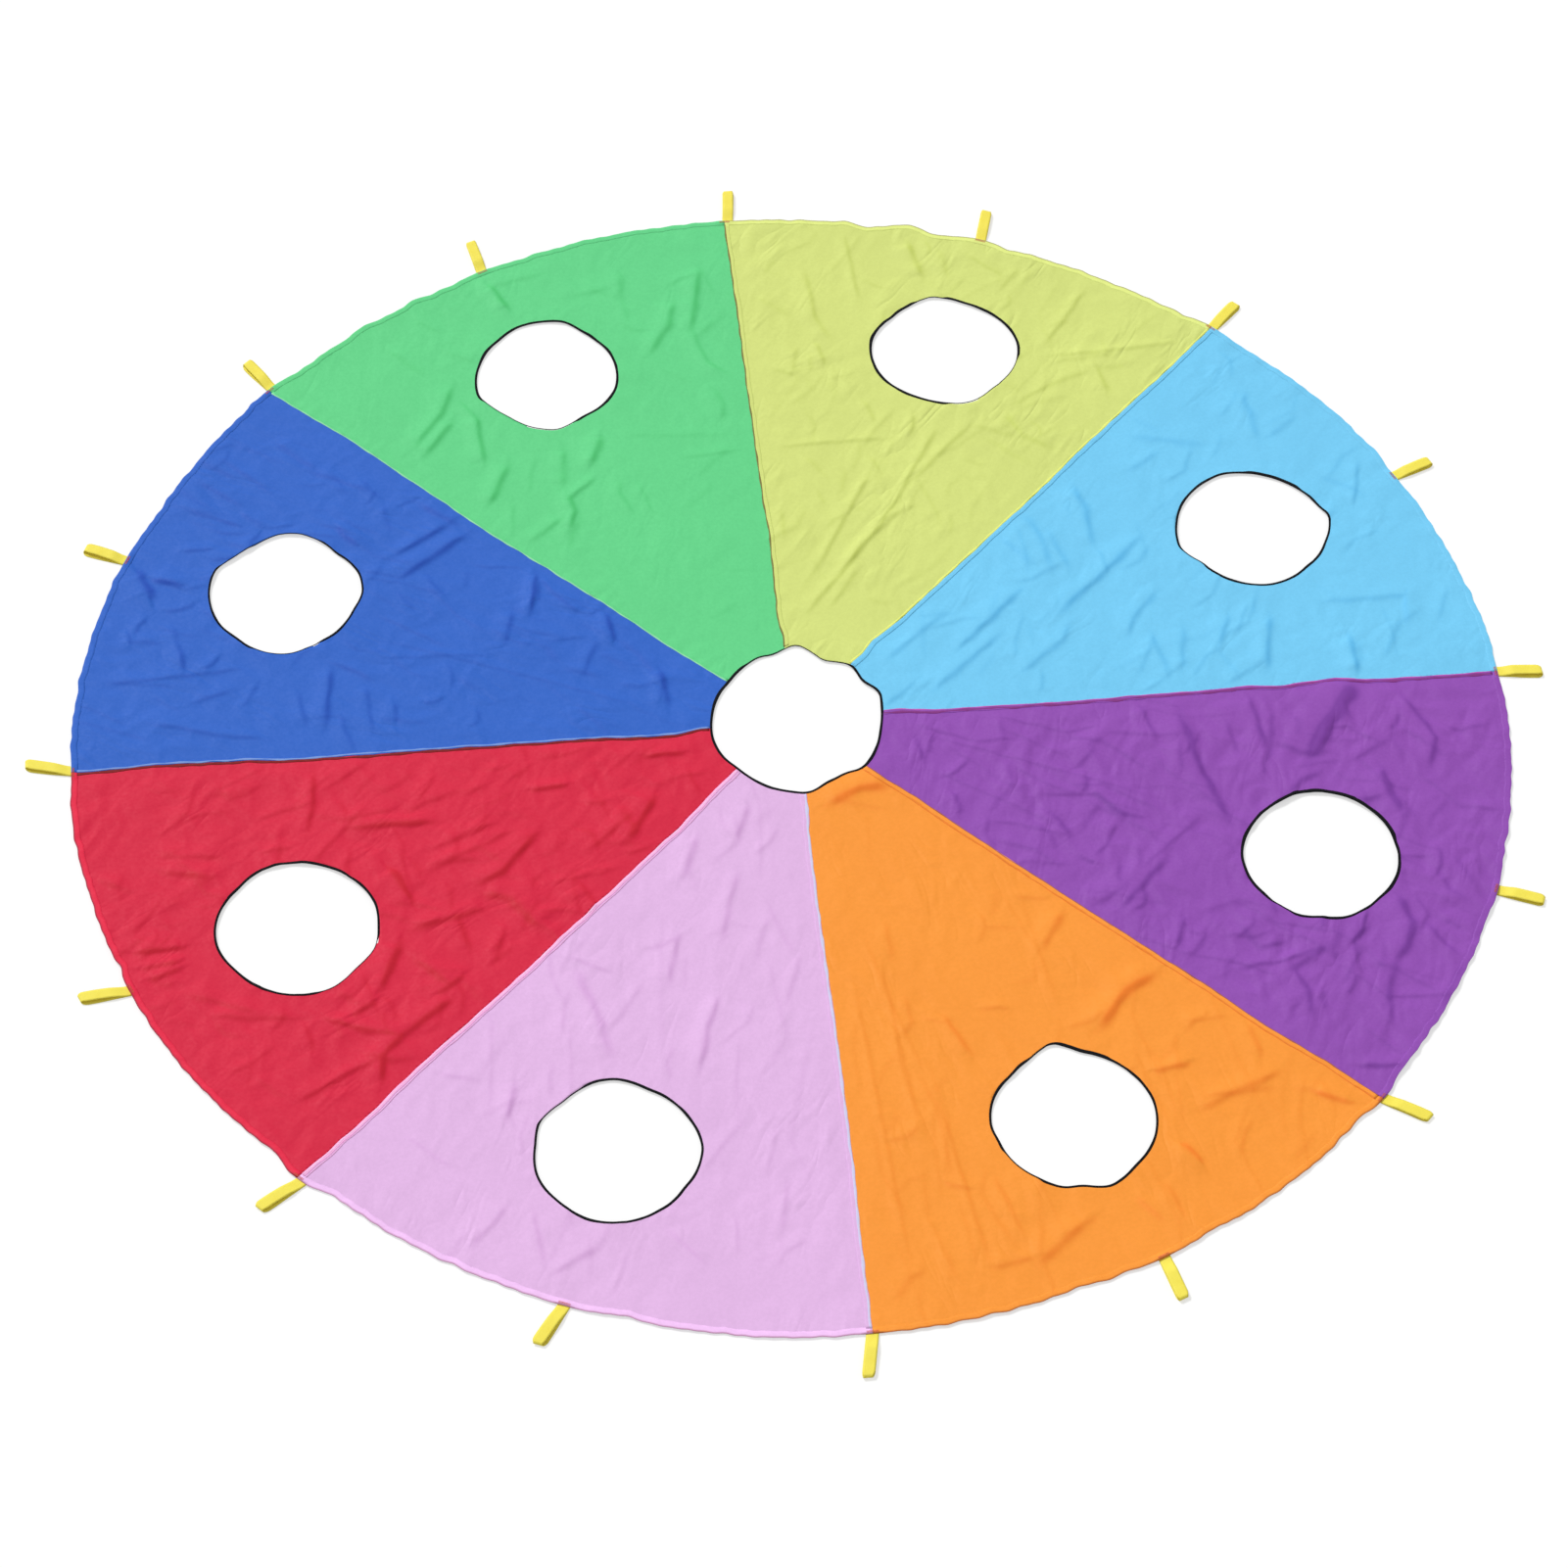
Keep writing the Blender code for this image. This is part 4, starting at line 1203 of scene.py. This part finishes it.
def tack_pattern(pieces):
    """Bar tacks: zigzag stitches across each loop's root, on the hem, for the loops with these numbers."""
    shape = bmesh.new()
    for index in pieces:
        turn = Matrix.Rotation(index * HANDLE_ANGLE, 4, "Z")
        for row in (0.0030, 0.0055):
            at = Vector((RIM - row, -WEBBING_WIDTH / 2 + 0.001, HEM_SWELL_TOP + 0.0003 - 0.11 * max(0, row - 0.0045)))
            for slant, shift in ((0.5, 0), (-0.5, 0.00085)):
                stitch = one_stitch(shape, turn @ (at + Vector((0, shift, 0))), index * HANDLE_ANGLE + slant, 0.0040)
                repeat_along(shape, stitch, turn @ Vector((0, 0.0017, 0)), 13)
    return as_mesh(shape, "tack_pattern", outward=True)


def make_gores():
    pattern = gore_pattern()
    hem = hem_pattern()
    for index, name in enumerate(GORES):
        turn = (index + 0.5) * GORE_ANGLE
        dyed = taffeta(f"taffeta_{name}", GORE_COLOURS[name], CRUMPLE[name], CRINKLES[name][1])
        cloth = laid_piece(f"cloth_{name}", pattern, turn, dyed, CLOTH)
        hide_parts(f"gore_{name}")
        hem_colour = lit(GORE_COLOURS[name], HEM_LIGHT) if name in BRIGHT_HEMS else GORE_COLOURS[name]
        hem_cloth = taffeta(f"hem_{name}", hem_colour, 0.5, edge=HEM_EDGE_SHADES.get(name))
        band = laid_piece(f"hem_{name}", hem, turn, hem_cloth, HEM_CLOTH)
        for piece in (cloth, band):
            carry(piece, name)


def make_seams():
    """The felled strip of each seam and its coloured edge lines, some of which are painted shade."""
    for index, (gore, low, high, colour, lines) in enumerate(SEAMS):
        label = f"{index + 1}_{gore}"
        strip = strip_pattern(f"fell_{label}", low / 1000, high / 1000, 0.0009, uneven=0.12, seed=index)
        made = [laid_piece(f"fell_{label}", strip, index * GORE_ANGLE, taffeta(f"fell_{label}", colour, 0.4))]
        # Thin raised lines along the seam; the dark ones are painted shade or painted shadow
        for number, (middle, width, tone) in enumerate(lines):
            name = f"seam_line_and_shade_{label}_{number + 1}"
            low_edge = (middle - width / 2) / 1000
            line = strip_pattern(name, low_edge, low_edge + width / 1000, 0.0007, 0.0005, 0.5, 20 + 2 * index + number)
            made.append(laid_piece(name, line, index * GORE_ANGLE, taffeta(name, tone, 0.4)))
        for piece in made:
            piece["gore"] = gore
            carry(piece, gore)


def make_bindings(tape):
    segments = round(2 * math.pi * HOLE / 0.005)
    ring = ring_pattern("ring_pattern", HOLE, segments)
    thread_ring = ring_thread_pattern("ring_thread", HOLE)
    black_thread = thread_material("thread_black", (24, 24, 28))
    for index, name in enumerate(GORES):
        x, y = hole_centre(index)
        binding = laid_piece(f"tape_{name}", fitted_ring(ring, name, HOLE, x, y), 0, tape, TAPE_CLOTH)
        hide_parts(f"hole_binding_{name}")
        rows = laid_piece(f"tape_thread_{name}", fitted_ring(thread_ring, name, HOLE, x, y), 0, black_thread)
        for piece in (binding, rows):
            carry(piece, name)
    centre = ring_pattern("centre_pattern", HUB, round(2 * math.pi * HUB / 0.005))
    centre_rows = ring_thread_pattern("centre_thread", HUB)
    binding = laid_piece("tape_centre", fitted_ring(centre, "hub", HUB), 0, tape, TAPE_CLOTH)
    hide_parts("centre_binding_front", "centre_binding_back")
    rows = laid_piece("tape_thread_centre", fitted_ring(centre_rows, "hub", HUB), 0, black_thread)
    for piece in (binding, rows):
        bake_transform(piece)


def make_threads():
    """Topstitching on each gore's hem and on each felled strip."""
    hem_rows = hem_thread_pattern()
    seam_rows = seam_thread_pattern()
    threads = {}
    for index, name in enumerate(GORES):
        threads[name] = thread_material(f"thread_{name}", [min(255, channel + 8) for channel in GORE_COLOURS[name]])
        piece = laid_piece(f"hem_thread_{name}", hem_rows, (index + 0.5) * GORE_ANGLE, threads[name])
        carry(piece, name)
    for index, (gore, low, high, _, _) in enumerate(SEAMS):
        pattern = seam_rows.copy()
        middle = (low + high) / 2000
        points = coordinates(pattern)
        along = points[:, 0]
        points[:, 1] += middle + 0.0008 * noise(along / 0.09, along * 0, 560 + index)
        points[:, 2] += 0.0010
        place(pattern, points)
        piece = laid_piece(f"seam_thread_{index + 1}_{gore}", pattern, index * GORE_ANGLE, threads[gore])
        carry(piece, gore)


def make_handles():
    webbing = webbing_material()
    for index in range(HANDLE_COUNT):
        webbing_loop(index, webbing)
    tack_thread = thread_material("thread_tack", TACK_COLOUR)
    groups = {
        "tacks_front": (FRONT, [0] + list(range(HANDLE_COUNT // 2, HANDLE_COUNT))),
        "tacks_back": (BACK, list(range(1, HANDLE_COUNT // 2))),
    }
    for name, (body, numbers) in groups.items():
        piece = laid_piece(name, tack_pattern(numbers), 0, tack_thread)
        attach(piece, body)


def make_stage():
    """A white floor that keeps a soft shadow, and a white world behind it."""
    shape = bmesh.new()
    bmesh.ops.create_grid(shape, x_segments=1, y_segments=1, size=30)
    bmesh.ops.translate(shape, verts=shape.verts, vec=(0, 0, -0.0004))
    material, tree, shader = new_material("floor", 0.9)
    shader.inputs["Base Color"].default_value = (0.8, 0.8, 0.8, 1)
    shader.inputs["Specular IOR Level"].default_value = 0
    seen = tree.nodes["Material Output"]
    plain = add_node(tree, "BsdfDiffuse", None, {"Color": (0.45, 0.45, 0.45, 1)}).outputs["BSDF"]
    glow = add_node(tree, "Emission", None, {"Color": (1, 1, 1, 1), "Strength": 0.57}).outputs["Emission"]
    pale = add_node(tree, "AddShader", None, {0: plain, 1: glow}).outputs["Shader"]
    camera_ray = add_node(tree, "LightPath").outputs["Is Camera Ray"]
    both = add_node(tree, "MixShader", None, {0: camera_ray, 1: shader.outputs["BSDF"], 2: pale})
    tree.links.new(both.outputs["Shader"], seen.inputs["Surface"])
    add_piece("floor", as_mesh(shape, "floor"), material)

    world = bpy.data.worlds.new("studio")
    bpy.context.scene.world = world
    world.use_nodes = True
    tree = world.node_tree
    path = add_node(tree, "LightPath").outputs
    seen = add_node(tree, "Math", {"operation": "MAXIMUM"}, {0: path["Is Camera Ray"], 1: path["Is Glossy Ray"]})
    seen = add_node(tree, "Math", {"operation": "MAXIMUM"}, {0: seen.outputs[0], 1: path["Is Transmission Ray"]})
    background = tree.nodes["Background"]
    background.inputs["Color"].default_value = (1, 1, 1, 1)
    strength = ranged(tree, seen.outputs[0], 0, 1, 1 - SUN_SHARE, 1)
    tree.links.new(strength, background.inputs["Strength"])


def make_sun():
    """One broad soft light; with the world it lights level ground so that a colour shows as it is written."""
    azimuth = math.radians(SUN_AZIMUTH)
    elevation = math.radians(SUN_ELEVATION)
    lamp = bpy.data.lights.new("key", "SUN")
    lamp.energy = math.pi * SUN_SHARE / math.sin(elevation)
    lamp.angle = math.radians(SUN_ANGLE)
    light = bpy.data.objects.new("key", lamp)
    direction = Vector((
        math.cos(azimuth) * math.cos(elevation), math.sin(azimuth) * math.cos(elevation), math.sin(elevation)
    ))
    light.rotation_euler = direction.to_track_quat("Z", "Y").to_euler()
    light.location = direction * 6
    bpy.context.scene.collection.objects.link(light)


def make_camera():
    """The photograph's camera: the canopy's middle falls on its pixel, and the horizon dips by the roll."""
    azimuth = math.radians(CAMERA_AZIMUTH)
    elevation = math.radians(CAMERA_ELEVATION)
    roll = math.radians(CAMERA_ROLL)
    back = Vector((
        math.sin(azimuth) * math.cos(elevation), -math.cos(azimuth) * math.cos(elevation), math.sin(elevation)
    ))
    right = Vector((math.cos(azimuth), math.sin(azimuth), 0))
    up = back.cross(right)
    rolled_right = right * math.cos(roll) + up * math.sin(roll)
    rolled_up = up * math.cos(roll) - right * math.sin(roll)
    lens = bpy.data.cameras.new("camera")
    lens.sensor_width = SENSOR
    lens.lens = CAMERA_FOCAL_PIXELS / PHOTO_SIZE * SENSOR
    lens.shift_x = (PHOTO_SIZE / 2 - CANOPY_CENTRE_PIXEL[0]) / PHOTO_SIZE
    lens.shift_y = (CANOPY_CENTRE_PIXEL[1] - PHOTO_SIZE / 2) / PHOTO_SIZE
    lens.clip_end = 100
    camera = bpy.data.objects.new("camera", lens)
    turn = Matrix((rolled_right, rolled_up, back)).transposed().to_4x4()
    camera.matrix_world = Matrix.Translation(back * CAMERA_DISTANCE) @ turn
    bpy.context.scene.collection.objects.link(camera)
    bpy.context.scene.camera = camera


make_camera()
make_stage()
make_sun()
make_seams()
make_gores()
make_bindings(tape_material())
make_threads()
make_handles()
bpy.context.scene.view_settings.view_transform = "Standard"
